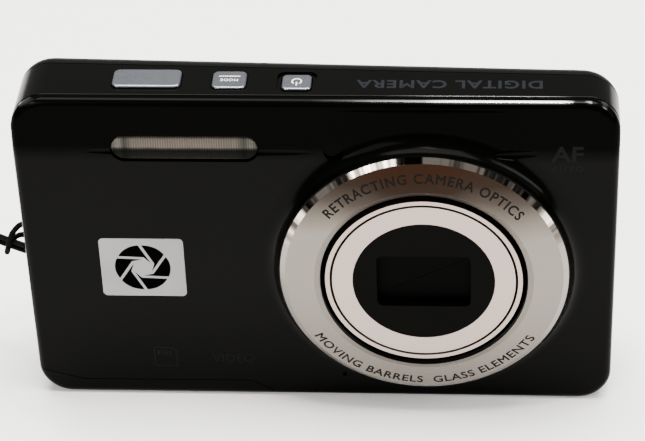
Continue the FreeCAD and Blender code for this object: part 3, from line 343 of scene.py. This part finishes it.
def make_light():
    """A dim studio, lighter overhead and behind, with soft boxes and a small bright panel."""
    world = bpy.data.worlds.new("studio")
    bpy.context.scene.world = world
    world.use_nodes = True
    tree = world.node_tree
    way = tree.nodes.new("ShaderNodeTexCoord")
    lean = tree.nodes.new("ShaderNodeVectorMath")
    lean.operation = "DOT_PRODUCT"
    lean.inputs[1].default_value = (0.0, 0.6, 0.8)
    ramp = tree.nodes.new("ShaderNodeValToRGB")
    ramp.color_ramp.elements[0].position = 0.0
    ramp.color_ramp.elements[0].color = (0.20, 0.195, 0.19, 1)
    ramp.color_ramp.elements[1].position = 0.9
    ramp.color_ramp.elements[1].color = (1.0, 0.99, 0.97, 1)
    tree.links.new(way.outputs["Generated"], lean.inputs[0])
    tree.links.new(lean.outputs["Value"], ramp.inputs[0])
    tree.links.new(ramp.outputs[0], tree.nodes["Background"].inputs["Color"])
    softbox("overhead_box", (0.05, 0.15, 0.9), (0, 0, 0), (0.9, 0.5), 36.0, (1, 0.98, 0.95))
    softbox("front_box", (-0.5, -0.8, 0.7), (0, 0, 0.03), (0.5, 0.5), 9.0, (1, 0.96, 0.92))
    softbox("right_box", (0.8, -0.2, 0.5), (0, 0, 0.03), (0.2, 0.6), 5.0)
    softbox("edge_panel", (0.03, -0.12, 0.8), (0, 0, 0), (0.12, 0.03), 2.4, (1, 0.93, 0.84))


make_floor()
make_light()


# ------------------------------------------------------------------ wrist strap
def cord_curve(name, route, diameter, material, rides_on, replaced):
    """One smooth NURBS line through the route, as thick as the cord."""
    data = bpy.data.curves.new(name, "CURVE")
    data.dimensions = "3D"
    spline = data.splines.new("NURBS")
    spline.points.add(len(route) - 1)
    for point, (x, y, z) in zip(spline.points, route):
        point.co = (x * MM, y * MM, z * MM, 1)
    spline.order_u = 3
    spline.use_endpoint_u = True
    spline.resolution_u = 16
    data.bevel_depth = diameter / 2 * MM
    data.bevel_resolution = 6
    data.use_fill_caps = True
    data.materials.append(material)
    cord = bpy.data.objects.new(name, data)
    bpy.context.collection.objects.link(cord)
    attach(cord, rides_on)
    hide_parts(replaced)
    return cord


HITCH_ROUTE = [
    (-60.0, 6.6, 2.4), (-58.4, 6.6, 2.4), (-57.2, 6.6, 4.6), (-57.4, 6.6, 9.0),
    (-58.4, 6.6, 14.6), (-58.4, 6.0, 20.2), (-56.4, 4.4, 24.4), (-52.9, 2.0, 25.45),
    (-49.5, 0.5, 25.12), (-46.9, -0.9, 25.15), (-45.6, -1.15, 24.95), (-43.87, -0.95, 25.1),
    (-43.87, 1.35, 25.9), (-45.7, 1.9, 26.9), (-47.6, 1.9, 27.5), (-48.5, 1.2, 26.95),
    (-49.1, 0.0, 26.6), (-49.5, -1.0, 25.2), (-49.95, -0.75, 23.5), (-50.3, 1.15, 22.7),
    (-49.75, 1.65, 24.0), (-48.8, 1.9, 24.9), (-47.7, 1.95, 25.3), (-45.6, 1.75, 24.9),
    (-43.87, 1.35, 24.3), (-43.87, -0.95, 23.9), (-45.6, -1.15, 23.9), (-47.0, -0.9, 24.16),
    (-49.6, 0.5, 24.1), (-52.7, 1.8, 24.4), (-55.4, 3.6, 23.2), (-57.0, 4.9, 18.6),
    (-57.2, 5.2, 13.2), (-57.0, 5.4, 8.0), (-57.0, 5.4, 4.2), (-58.2, 5.4, 2.4),
    (-60.0, 5.4, 2.4)]
LOOP_ROUTE = [
    (-68.0, 7.3, 2.0), (-71.0, 7.3, 2.0), (-75.0, 7.1, 0.95), (-104.5, 7.1, 0.95),
    (-104.5, -1.1, 0.95), (-75.5, -1.1, 0.95), (-75.5, -4.9, 0.95), (-99.0, -4.9, 0.95),
    (-100.4, -4.2, 0.95), (-103.8, -4.2, 0.95), (-103.8, -7.8, 0.95), (-100.4, -7.8, 0.95),
    (-99.0, -7.1, 0.95), (-73.4, -7.1, 0.95), (-73.4, 1.1, 0.95), (-102.4, 1.1, 0.95),
    (-102.4, 4.9, 0.95), (-75.0, 4.9, 0.95), (-71.0, 4.7, 2.0), (-68.0, 4.7, 2.0)]
hitch = cord_curve("strap_cord_braided", HITCH_ROUTE, 0.9, STRAP, "camera", "strap_cord")
loop = cord_curve("strap_loop_braided", LOOP_ROUTE, 1.8, STRAP, "camera", "strap_loop")


# ------------------------------------------------------------------ carried-over nodes
def dress(material, *names):
    """Gives carried-over CAD nodes their material."""
    for name in names:
        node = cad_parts[name]
        for place in node.material_slots:
            place.material = material
        if not node.material_slots:
            node.data.materials.append(material)


dress(FRONT_BLACK, "front_cover")
dress(BAND_BLACK, "middle_band")
dress(REAR_BLACK, "rear_cover")
dress(DOOR_BLACK, "battery_door")
dress(CAP_BLACK, "barrel_cap")
dress(BLADE_BLACK, "barrier_blade_upper", "barrier_blade_lower")
dress(INNER_BLACK, "front_lens_cell", "shutter_unit", "focus_frame", "cam_ring", "lens_base")
dress(OPTIC, "front_lens", "focus_lens")
dress(KEY_SILVER, "shutter_button", "mode_button", "power_button", "zoom_rocker",
      "record_button", "playback_button", "menu_button", "delete_button", "four_way_pad",
      "set_button")
dress(BADGE_GREY, "badge")
dress(LAMP_GLASS, "focus_lamp_window")
dress(SCREEN_BLACK, "display_window")
dress(RUBBER, "usb_cover", "strap_ferrule")
dress(STEEL, "battery_door_pin", "card_slot", "chassis", "focus_screw", "focus_motor",
      "zoom_motor", "image_sensor", "display_bracket", "speaker")
dress(PLATED, "strap_bar", "usb_socket", "flash_unit")
dress(SCREW_BLACK, "body_screws")
dress(BRASS, "tripod_socket", "motor_pinion")
dress(ACETAL, "idler_gear")
dress(BOARD_GREEN, "main_board", "top_key_board", "rear_key_board")
dress(CELL_GREY, "battery")
dress(CARD_BLACK, "memory_card", "flash_capacitor", "display_panel")
dress(INNER_GREY, "battery_bay", "battery_latch")


def turned_lines(n):
    """The place seen from the lens axis, its radius, and fine lathe lines round the axis."""
    coordinate = n.add("TexCoord").outputs["Object"]
    moved = n.add("VectorMath", {0: coordinate, 1: tuple(LENS * MM)}, operation="SUBTRACT")
    flat = n.add("VectorMath", {0: moved.outputs[0], 1: (1, 0, 1)}, operation="MULTIPLY")
    radius = n.add("VectorMath", {0: flat.outputs[0]}, operation="LENGTH").outputs["Value"]
    lines = n.add("TexNoise", {"W": radius, "Scale": 5200.0, "Detail": 5.0, "Roughness": 0.7},
                  noise_dimensions="1D").outputs[0]
    return n.add("SeparateXYZ", {0: moved.outputs[0]}).outputs, radius, lines


def barrel_finish_and_painted_shade():
    """Satin anodised barrels; where one slides in the other, the thin dark gap is widened by a
    painted shade band on their front faces.
    """
    n = Nodes("barrel_turned_painted_shade")
    radius, lines = turned_lines(n)[1:]
    # Painted shade: a black band at the joint radius on the front faces widens the gap between the
    # barrels.
    joint_shade = n.math("COMPARE", radius, BARREL_JOINT_R * MM)
    joint_shade.node.inputs[2].default_value = JOINT_SHADE_HALF * MM
    facing = n.add("SeparateXYZ", {0: n.add("TexCoord").outputs["Normal"]}).outputs["Y"]
    joint_shade = n.math("MULTIPLY", joint_shade, n.math("LESS_THAN", facing, -0.7))
    satin = n.ramp(lines, (0.25, (0.300, 0.240, 0.210)), (0.75, (0.325, 0.262, 0.230)))
    colour = n.add("Mix", {0: joint_shade, 6: satin, 7: (0.0008, 0.0008, 0.0007, 1)}, data_type="RGBA")
    marks = n.noise(70.0, 5.0)
    n.set(Base_Color=colour.outputs[2], Metallic=1.0,
          Roughness=n.math("ADD", n.math("MULTIPLY", marks, 0.12), 0.24),
          Normal=n.bump(lines, 0.04, 0.00003))
    return n.material


def ring_finish_and_painted_light():
    """Turned satin face with a painted reflection that darkens it towards its top, a black bore
    painted as shade in the gap, and a polished outer bevel with painted glints.
    """
    n = Nodes("ring_turned_painted_light")
    place, radius, turning = turned_lines(n)
    polished = n.math("GREATER_THAN", radius, RING_BEVEL_R * MM)
    inner = n.math("LESS_THAN", radius, RING_CREST_R * MM)
    marks = n.noise(70.0, 5.0)
    satin = n.math("ADD", n.math("MULTIPLY", marks, 0.12), 0.2)
    rough = n.add("Mix", {0: polished, 2: satin, 3: 0.07}, data_type="FLOAT").outputs[0]
    relief = n.math("MULTIPLY", turning, n.math("SUBTRACT", 1.0, polished))
    bright = n.ramp(turning, (0.25, (0.145, 0.130, 0.114)), (0.75, (0.168, 0.150, 0.132)))
    lean = n.math("MULTIPLY", place["Z"], 1 / (RING_BEVEL_R * MM))
    # Painted shade: the black of the bore reaches further out over the lip towards the bottom.
    lip_shade = n.math("MULTIPLY", n.math("MAXIMUM", n.math("MULTIPLY", lean, -1.0), 0.0),
                 RING_LIP_SHADE * MM)
    bore_shade = n.math("LESS_THAN", radius, n.math("ADD", lip_shade, RING_BORE_R * MM))
    # Painted reflection: the face turns darker and browner towards its top, with a wavering edge.
    drift = n.math("MULTIPLY", n.math("SUBTRACT", n.noise(55.0, 2.0), 0.5), 0.35)
    painted_reflection = n.ramp(n.math("ADD", lean, drift), (0.40, (1, 1, 1)), (0.54, (0.62, 0.60, 0.57)),
                   (0.68, (0.24, 0.22, 0.21)), (0.80, (0.11, 0.085, 0.07)),
                   (0.95, (0.12, 0.062, 0.042)))
    # Painted glints: bright and dark patches round the polished bevel.
    around = n.math("ARCTAN2", place["X"], place["Z"])
    painted_glints = n.add("TexNoise", {"W": around, "Scale": 4.6, "Detail": 3.0, "Roughness": 0.65},
                   noise_dimensions="1D").outputs[0]
    painted_glints = n.ramp(painted_glints, (0.40, grey(0.05)), (0.47, grey(0.6)), (0.56, grey(5.0)))
    # Painted reflection on the bevel: evenly bright on its lower part, the painted glints on its
    # upper part.
    bevel_reflection = n.add("Mix", {0: n.ramp(lean, (0.25, grey(0)), (0.45, grey(1))), 6: grey(1.35),
                           7: painted_glints}, data_type="RGBA").outputs[2]
    painted_reflection = n.add("Mix", {0: polished, 6: painted_reflection, 7: bevel_reflection}, data_type="RGBA").outputs[2]
    colour = n.add("Mix", {0: 1.0, 6: bright, 7: painted_reflection}, data_type="RGBA",
                   blend_type="MULTIPLY").outputs[2]
    # The bore is painted black as shade in the gap round the barrel.
    colour = n.add("Mix", {0: bore_shade, 6: colour, 7: (0.0008, 0.0008, 0.0007, 1)},
                   data_type="RGBA").outputs[2]
    solid = n.math("SUBTRACT", 1.0, n.math("MULTIPLY", inner, 0.65))
    n.set(Base_Color=colour, Metallic=solid, Roughness=rough, Specular_IOR_Level=0.1,
          Normal=n.bump(relief, 0.06, 0.00003))
    return n.material


dress(ring_finish_and_painted_light(), "lens_ring")
dress(barrel_finish_and_painted_shade(), "outer_barrel", "inner_barrel")


# ------------------------------------------------------------------ ribbed flash window
def ribbed_plastic_painted_light():
    """Clear ribbed plastic over the reflector: paler above, dark below, with painted highlights
    and shade at its ends and painted light and shade across the ribs.
    """
    n = Nodes("flash_ribbed_painted_light")
    place = n.add("SeparateXYZ", {0: n.add("TexCoord").outputs["Object"]}).outputs
    low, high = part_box("flash_window")
    rise = n.math("MULTIPLY", n.math("SUBTRACT", place["Z"], low.z), 1 / (high.z - low.z))
    rise = n.math("ADD", rise, n.math("MULTIPLY", n.math("SUBTRACT", n.noise(420.0, 2.0), 0.5),
                                      0.04))
    tone = n.ramp(rise, (0.0, (0.030, 0.029, 0.026)), (0.10, (0.008, 0.008, 0.006)),
                  (0.38, (0.0024, 0.0026, 0.0016)), (0.46, (0.020, 0.018, 0.015)),
                  (0.54, (0.098, 0.084, 0.072)), (0.86, (0.086, 0.074, 0.063)),
                  (0.95, (0.030, 0.027, 0.022)), (1.0, (0.004, 0.004, 0.003)))
    along = n.math("MULTIPLY", n.math("SUBTRACT", place["X"], low.x), 1 / (high.x - low.x))
    # Painted highlights and shade: bright and dark bars near each end of the window.
    end_light_and_shade = n.ramp(along, (0.0, (0.5, 0.55, 0.6)), (0.05, (1.1, 1.2, 1.3)),
                  (0.09, (0.35, 0.38, 0.38)), (0.15, (0.95, 0.97, 0.95)), (0.5, (1, 1, 1)),
                  (0.85, (0.9, 0.92, 0.9)), (0.91, (0.4, 0.43, 0.42)), (0.96, (0.9, 1.0, 1.0)),
                  (1.0, (0.4, 0.42, 0.45)))
    phase = n.math("MULTIPLY", place["X"], math.tau / (RIB_PITCH * MM))
    ribs = n.math("MULTIPLY", n.math("SINE", phase), 0.5)
    ribs = n.math("ADD", ribs, n.math("MULTIPLY", n.noise(1500.0, 3.0, stretch=(1, 1, 0.05)), 0.7))
    # Painted light and shade across the ribs, lighter and darker in step with the rib phase.
    lines = n.ramp(ribs, (0.0, (0.72, 0.72, 0.74)), (0.9, (1.18, 1.16, 1.12)))
    colour = n.add("Mix", {0: 1.0, 6: tone, 7: end_light_and_shade}, data_type="RGBA", blend_type="MULTIPLY")
    colour = n.add("Mix", {0: 1.0, 6: colour.outputs[2], 7: lines}, data_type="RGBA",
                   blend_type="MULTIPLY")
    n.set(Base_Color=colour.outputs[2], Roughness=0.16, Specular_IOR_Level=0.014,
          Normal=n.bump(ribs, 0.15, 0.00004))
    return n.material


def make_flash_window():
    """A rounded slab whose face is moulded into fine upright ribs."""
    low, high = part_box("flash_window")
    half = (high.z - low.z) / 2
    middle_z = (high.z + low.z) / 2
    pitch = RIB_PITCH * MM / 4
    columns = round((high.x - low.x) / pitch)
    bm = bmesh.new()
    rings = []
    for i in range(columns + 1):
        x = low.x + (high.x - low.x) * i / columns
        past = max(low.x + half - x, x - (high.x - half), 0.0)
        reach = math.sqrt(max(half ** 2 - past ** 2, (0.06 * half) ** 2))
        crown = 0.05 * MM * abs(math.sin(math.pi * i / 4))
        column = []
        for share in (-1.0, -0.97, -0.9, 0.9, 0.97, 1.0):
            edge = 0.12 * MM * max(abs(share) - 0.9, 0) / 0.1
            column.append(bm.verts.new((x, low.y + 0.06 * MM - crown + edge * 1.5,
                                        middle_z + reach * share)))
        column.append(bm.verts.new((x, high.y, middle_z + reach)))
        column.append(bm.verts.new((x, high.y, middle_z - reach)))
        rings.append(column)
    for a, b in zip(rings, rings[1:]):
        for j in range(8):
            k = (j + 1) % 8
            bm.faces.new((a[j], b[j], b[k], a[k]))
    bm.faces.new(rings[0])
    bm.faces.new(list(reversed(rings[-1])))
    bmesh.ops.recalc_face_normals(bm, faces=bm.faces[:])
    mesh = bpy.data.meshes.new("flash_window_ribbed")
    bm.to_mesh(mesh)
    bm.free()
    mesh.materials.append(ribbed_plastic_painted_light())
    window = bpy.data.objects.new("flash_window_ribbed", mesh)
    bpy.context.collection.objects.link(window)
    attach(window, "camera")
    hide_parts("flash_window")


make_flash_window()


# ------------------------------------------------------------------ printed and engraved marks
def surface_of(name):
    """A search tree over one CAD node, to lay marks on its skin."""
    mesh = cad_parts[name].data
    return BVHTree.FromPolygons([v.co.copy() for v in mesh.vertices],
                                [tuple(p.vertices) for p in mesh.polygons])


class Plot:
    """Flat shapes drawn in millimetres on a page, then laid on the object."""

    def __init__(self):
        self.bm = bmesh.new()

    def polygon(self, points):
        self.bm.faces.new([self.bm.verts.new((u, v, 0)) for u, v in points])

    def box(self, left, low, right, high, corner=0.0):
        if not corner:
            self.polygon([(left, low), (right, low), (right, high), (left, high)])
            return
        self.polygon(round_box(left, low, right, high, corner))

    def band(self, outer, inner, closed=True):
        a = [self.bm.verts.new((u, v, 0)) for u, v in outer]
        b = [self.bm.verts.new((u, v, 0)) for u, v in inner]
        last = len(a) if closed else len(a) - 1
        for i in range(last):
            j = (i + 1) % len(a)
            self.bm.faces.new((a[i], a[j], b[j], b[i]))

    def ring(self, u, v, radius, wide, start=0.0, end=360.0, steps=40):
        closed = end - start >= 360
        count = steps if closed else steps + 1
        angles = [math.radians(start + (end - start) * i / steps) for i in range(count)]
        self.band([(u + radius * math.cos(a), v + radius * math.sin(a)) for a in angles],
                  [(u + (radius - wide) * math.cos(a), v + (radius - wide) * math.sin(a))
                   for a in angles], closed)

    def disc(self, u, v, radius):
        steps = 40
        self.polygon([(u + radius * math.cos(math.tau * i / steps),
                       v + radius * math.sin(math.tau * i / steps)) for i in range(steps)])

    def line(self, u0, v0, u1, v1, wide):
        along = Vector((u1 - u0, v1 - v0)).normalized() * wide / 2
        side = Vector((-along.y, along.x))
        self.polygon([(u0 - side.x, v0 - side.y), (u1 - side.x, v1 - side.y),
                      (u1 + side.x, v1 + side.y), (u0 + side.x, v0 + side.y)])

    def text(self, words, height, u=0.0, v=0.0, spacing=1.0, stretch=1.0, weight=0.0):
        """Letters of a cap height, with the middle of their baseline at a point."""
        data = bpy.data.curves.new("letters", "FONT")
        data.body = words
        data.size = height / 0.69
        data.space_character = spacing
        data.align_x = "CENTER"
        data.resolution_u = 4
        letters = bpy.data.objects.new("letters", data)
        bpy.context.collection.objects.link(letters)
        bpy.context.view_layer.update()
        mesh = bpy.data.meshes.new_from_object(letters)
        mesh.transform(Matrix.Translation((u, v, 0)) @ Matrix.Diagonal((stretch, 1, 1, 1)))
        if weight:
            embolden(mesh, weight)
        self.bm.from_mesh(mesh)
        bpy.data.objects.remove(letters)
        bpy.data.meshes.remove(mesh)

    def lay(self, name, material, body, spot, thick=0.012, cut=0.0):
        """Gives the shapes a thickness and moves each point with spot(u, v, height)."""
        if cut:
            longest = [e for e in self.bm.edges if e.calc_length() > cut]
            bmesh.ops.subdivide_edges(self.bm, edges=longest, cuts=3)
            bmesh.ops.triangulate(self.bm, faces=self.bm.faces[:])
        bmesh.ops.remove_doubles(self.bm, verts=self.bm.verts[:], dist=0.0005)
        bmesh.ops.dissolve_degenerate(self.bm, edges=self.bm.edges[:], dist=0.0005)
        base = self.bm.faces[:]
        lifted = bmesh.ops.extrude_face_region(self.bm, geom=base, use_keep_orig=True)
        top = {v for v in lifted["geom"] if isinstance(v, bmesh.types.BMVert)}
        for vert in self.bm.verts:
            u, v, _ = vert.co
            vert.co = Vector(spot(u, v, thick if vert in top else -thick)) * MM
        bmesh.ops.recalc_face_normals(self.bm, faces=self.bm.faces[:])
        mesh = bpy.data.meshes.new(name)
        self.bm.to_mesh(mesh)
        self.bm.free()
        mesh.materials.append(material)
        piece = bpy.data.objects.new(name, mesh)
        bpy.context.collection.objects.link(piece)
        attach(piece, body)
        return piece


def embolden(mesh, weight):
    """Moves the outline of flat letters outwards."""
    bold = bmesh.new()
    bold.from_mesh(mesh)
    bmesh.ops.remove_doubles(bold, verts=bold.verts[:], dist=0.0005)
    outward = {}
    for edge in bold.edges:
        if edge.is_boundary:
            a, b = (v.co for v in edge.verts)
            side = Vector((b.y - a.y, a.x - b.x, 0)).normalized()
            if side.dot((a + b) / 2 - edge.link_faces[0].calc_center_median()) < 0:
                side.negate()
            for vert in edge.verts:
                outward[vert] = outward.get(vert, Vector()) + side
    for vert, side in outward.items():
        step = side * (2 / max(side.length_squared, 0.5))
        vert.co += step * (weight * min(1.0, 1.6 / step.length))
    bold.to_mesh(mesh)
    bold.free()


def round_box(left, low, right, high, corner, steps=6):
    points = []
    for u, v, start in ((right - corner, high - corner, 0), (left + corner, high - corner, 90),
                        (left + corner, low + corner, 180), (right - corner, low + corner, 270)):
        for i in range(steps + 1):
            a = math.radians(start + 90 * i / steps)
            points.append((u + corner * math.cos(a), v + corner * math.sin(a)))
    return points


front_skin = surface_of("front_cover")


def on_front(u, v, height):
    """A point over the front cover, found by looking along +Y."""
    hit = front_skin.ray_cast(Vector((u, -40, v)) * MM, Vector((0, 1, 0)))[0]
    return (u, (hit.y / MM if hit else FRONT) - height, v)


def round_lens(middle, turn):
    """Bends a line of letters round the lens axis, on the name ring's sloping face."""
    def spot(u, v, height):
        radius = middle + (v - 1.0) * turn
        angle = math.radians(90 if turn > 0 else 270) - turn * u / middle
        slope = (RING_BEVEL_Y - RING_CREST_Y) / (RING_BEVEL_R - RING_CREST_R)
        y = RING_CREST_Y + (radius - RING_CREST_R) * slope - height
        return (LENS.x + radius * math.cos(angle), y, LENS.z + radius * math.sin(angle))
    return spot


def engrave_ring():
    top = Plot()
    top.text("RETRACTING CAMERA OPTICS", 1.5, spacing=1.16, weight=0.045)
    top.lay("ring_words_top", ENGRAVED, "camera", round_lens(19.25, 1))
    low = Plot()
    low.text("MOVING BARRELS  GLASS ELEMENTS", 1.5, spacing=1.1, weight=0.045)
    low.lay("ring_words_low", ENGRAVED, "camera", round_lens(19.6, -1))


def print_badge():
    """A plain iris symbol in the middle of the light badge."""
    low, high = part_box("badge")
    face = low.y / MM
    mark = Plot()
    middle = Vector(((low.x + high.x) / 2 / MM, (low.z + high.z) / 2 / MM))
    radius, hole, shrink = 4.5, 1.9, 6 / 7
    for i in range(6):
        first, second = (Vector((math.cos(math.radians(a)), math.sin(math.radians(a))))
                         for a in (60 * i + 12, 60 * i + 72))
        points = [first * hole, second * hole]
        start, end = (math.degrees(math.asin(hole * math.sin(math.radians(60)) / radius)) + 60 * k
                      for k in (i + 1, i))
        for step in range(9):
            a = math.radians(start + 12 + 60 + (end - start) * step / 8)
            points.append(Vector((math.cos(a), math.sin(a))) * radius)
        centre = sum(points, Vector((0, 0))) / len(points)
        mark.polygon([tuple(middle + centre + (p - centre) * shrink) for p in points])
    mark.lay("badge_print", BADGE_INK, "camera",
             lambda u, v, height: (u, face - height, v))


def print_front():
    focus = Plot()
    focus.text("AF", 2.5, 38.0, 46.3, stretch=1.15, weight=0.08)
    focus.text("AUTO", 0.95, 38.0, 44.5, spacing=1.25, stretch=1.1, weight=0.04)
    focus.lay("focus_mark", FAINT_INK, "camera", on_front, cut=1.2)
    film = Plot()
    film.text("VIDEO", 1.7, -14.1, 6.8, stretch=0.95)
    film.lay("video_mark", FAINT_INK, "camera", on_front)
    card = Plot()
    outer = [(-26.9, 5.8), (-23.1, 5.8), (-23.1, 9.0), (-23.9, 9.8), (-26.9, 9.8)]
    inner = [(-26.65, 6.05), (-23.35, 6.05), (-23.35, 8.9), (-24.0, 9.55), (-26.65, 9.55)]
    card.band(outer, inner)
    for i in range(4):
        card.box(-26.3 + 0.62 * i, 8.1, -25.95 + 0.62 * i, 9.1)
    card.lay("card_mark", FAINT_INK, "camera", on_front)


def print_top():
    """The band's words read from behind the camera."""
    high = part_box("middle_band")[1].z / MM
    words = Plot()
    words.text("DIGITAL CAMERA", 2.0, 0, 0, spacing=1.12, stretch=1.1, weight=0.08)
    words.lay("top_words", TOP_INK, "camera",
              lambda u, v, height: (20.4 - u, 0.1 - v, high + height))
    mode = Plot()
    mode.text("MODE", 0.62, 0, -0.1, spacing=1.15)
    mode.box(-1.6, -0.9, 1.6, -0.72)
    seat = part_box("mode_button")
    at = (seat[0] + seat[1]) / 2 / MM
    mode.lay("mode_mark", KEY_INK, "mode_key",
             lambda u, v, height: (at.x - u, at.y - v, seat[1].z / MM + height), thick=0.008)
    power = Plot()
    power.ring(0, -0.05, 0.8, 0.2, -235, 55, steps=28)
    power.box(-0.1, 0.15, 0.1, 1.05)
    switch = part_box("power_button")
    spot = (switch[0] + switch[1]) / 2 / MM
    power.lay("power_mark", KEY_INK, "power_key",
              lambda u, v, height: (spot.x - u, spot.y - v, switch[1].z / MM + height),
              thick=0.008)


def print_rear():
    """Plain symbols on and beside the rear keys, read from behind."""
    def on_key(node):
        low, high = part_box(node)
        middle = (low + high) / 2 / MM
        return lambda u, v, height: (middle.x - u, high.y / MM + height, middle.z + v)

    record = Plot()
    record.disc(0, 0, 0.95)
    record.lay("record_mark", ink("record_red", (0.45, 0.02, 0.015)), "record_key",
               on_key("record_button"))
    play = Plot()
    play.polygon([(-0.75, -0.95), (1.05, 0), (-0.75, 0.95)])
    play.lay("playback_mark", REAR_INK, "playback_key", on_key("playback_button"))
    menu = Plot()
    for i in range(3):
        menu.box(-1.1, -0.95 + 0.75 * i, 1.1, -0.6 + 0.75 * i)
    menu.lay("menu_mark", REAR_INK, "menu_key", on_key("menu_button"))
    bin_mark = Plot()
    bin_mark.box(-1.0, 0.55, 1.0, 0.8)
    bin_mark.box(-0.35, 0.85, 0.35, 1.1)
    bin_mark.band([(-0.8, 0.4), (-0.65, -1.1), (0.65, -1.1), (0.8, 0.4)],
                  [(-0.55, 0.4), (-0.45, -0.88), (0.45, -0.88), (0.55, 0.4)], closed=False)
    bin_mark.lay("delete_mark", REAR_INK, "delete_key", on_key("delete_button"))
    middle = Plot()
    middle.text("SET", 1.2, 0, -0.6, spacing=1.1)
    middle.lay("set_mark", REAR_INK, "set_key", on_key("set_button"))
    pad = Plot()
    for turn in range(4):
        a = math.pi / 2 * turn
        tip = Vector((math.cos(a), math.sin(a)))
        side = Vector((-tip.y, tip.x))
        points = [tip * 8.1, tip * 7.0 + side * 0.8, tip * 7.0 - side * 0.8]
        pad.polygon([(p.x, p.y) for p in points])
    pad.lay("pad_mark", REAR_INK, "pad", on_key("four_way_pad"))
    rocker = Plot()
    rocker.text("W", 1.5, -4.9, -0.75)
    rocker.text("T", 1.5, 4.9, -0.75)
    rocker.ring(0, 0, 0.9, 0.2)
    rocker.line(0.6, -0.6, 1.25, -1.25, 0.28)
    rocker.lay("rocker_mark", REAR_INK, "rocker", on_key("zoom_rocker"))


def print_door():
    """The sliding arrow on the battery door's underside."""
    low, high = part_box("battery_door")
    middle = (low + high) / 2 / MM
    arrow = Plot()
    arrow.polygon([(-3.4, 0), (-1.2, 1.3), (-1.2, -1.3)])
    arrow.box(-1.2, -0.35, 2.6, 0.35)
    arrow.lay("door_arrow", REAR_INK, "door",
              lambda u, v, height: (middle.x + u, middle.y + v, low.z / MM - height),
              thick=0.008)


engrave_ring()
print_badge()
print_front()
print_top()
print_rear()
print_door()
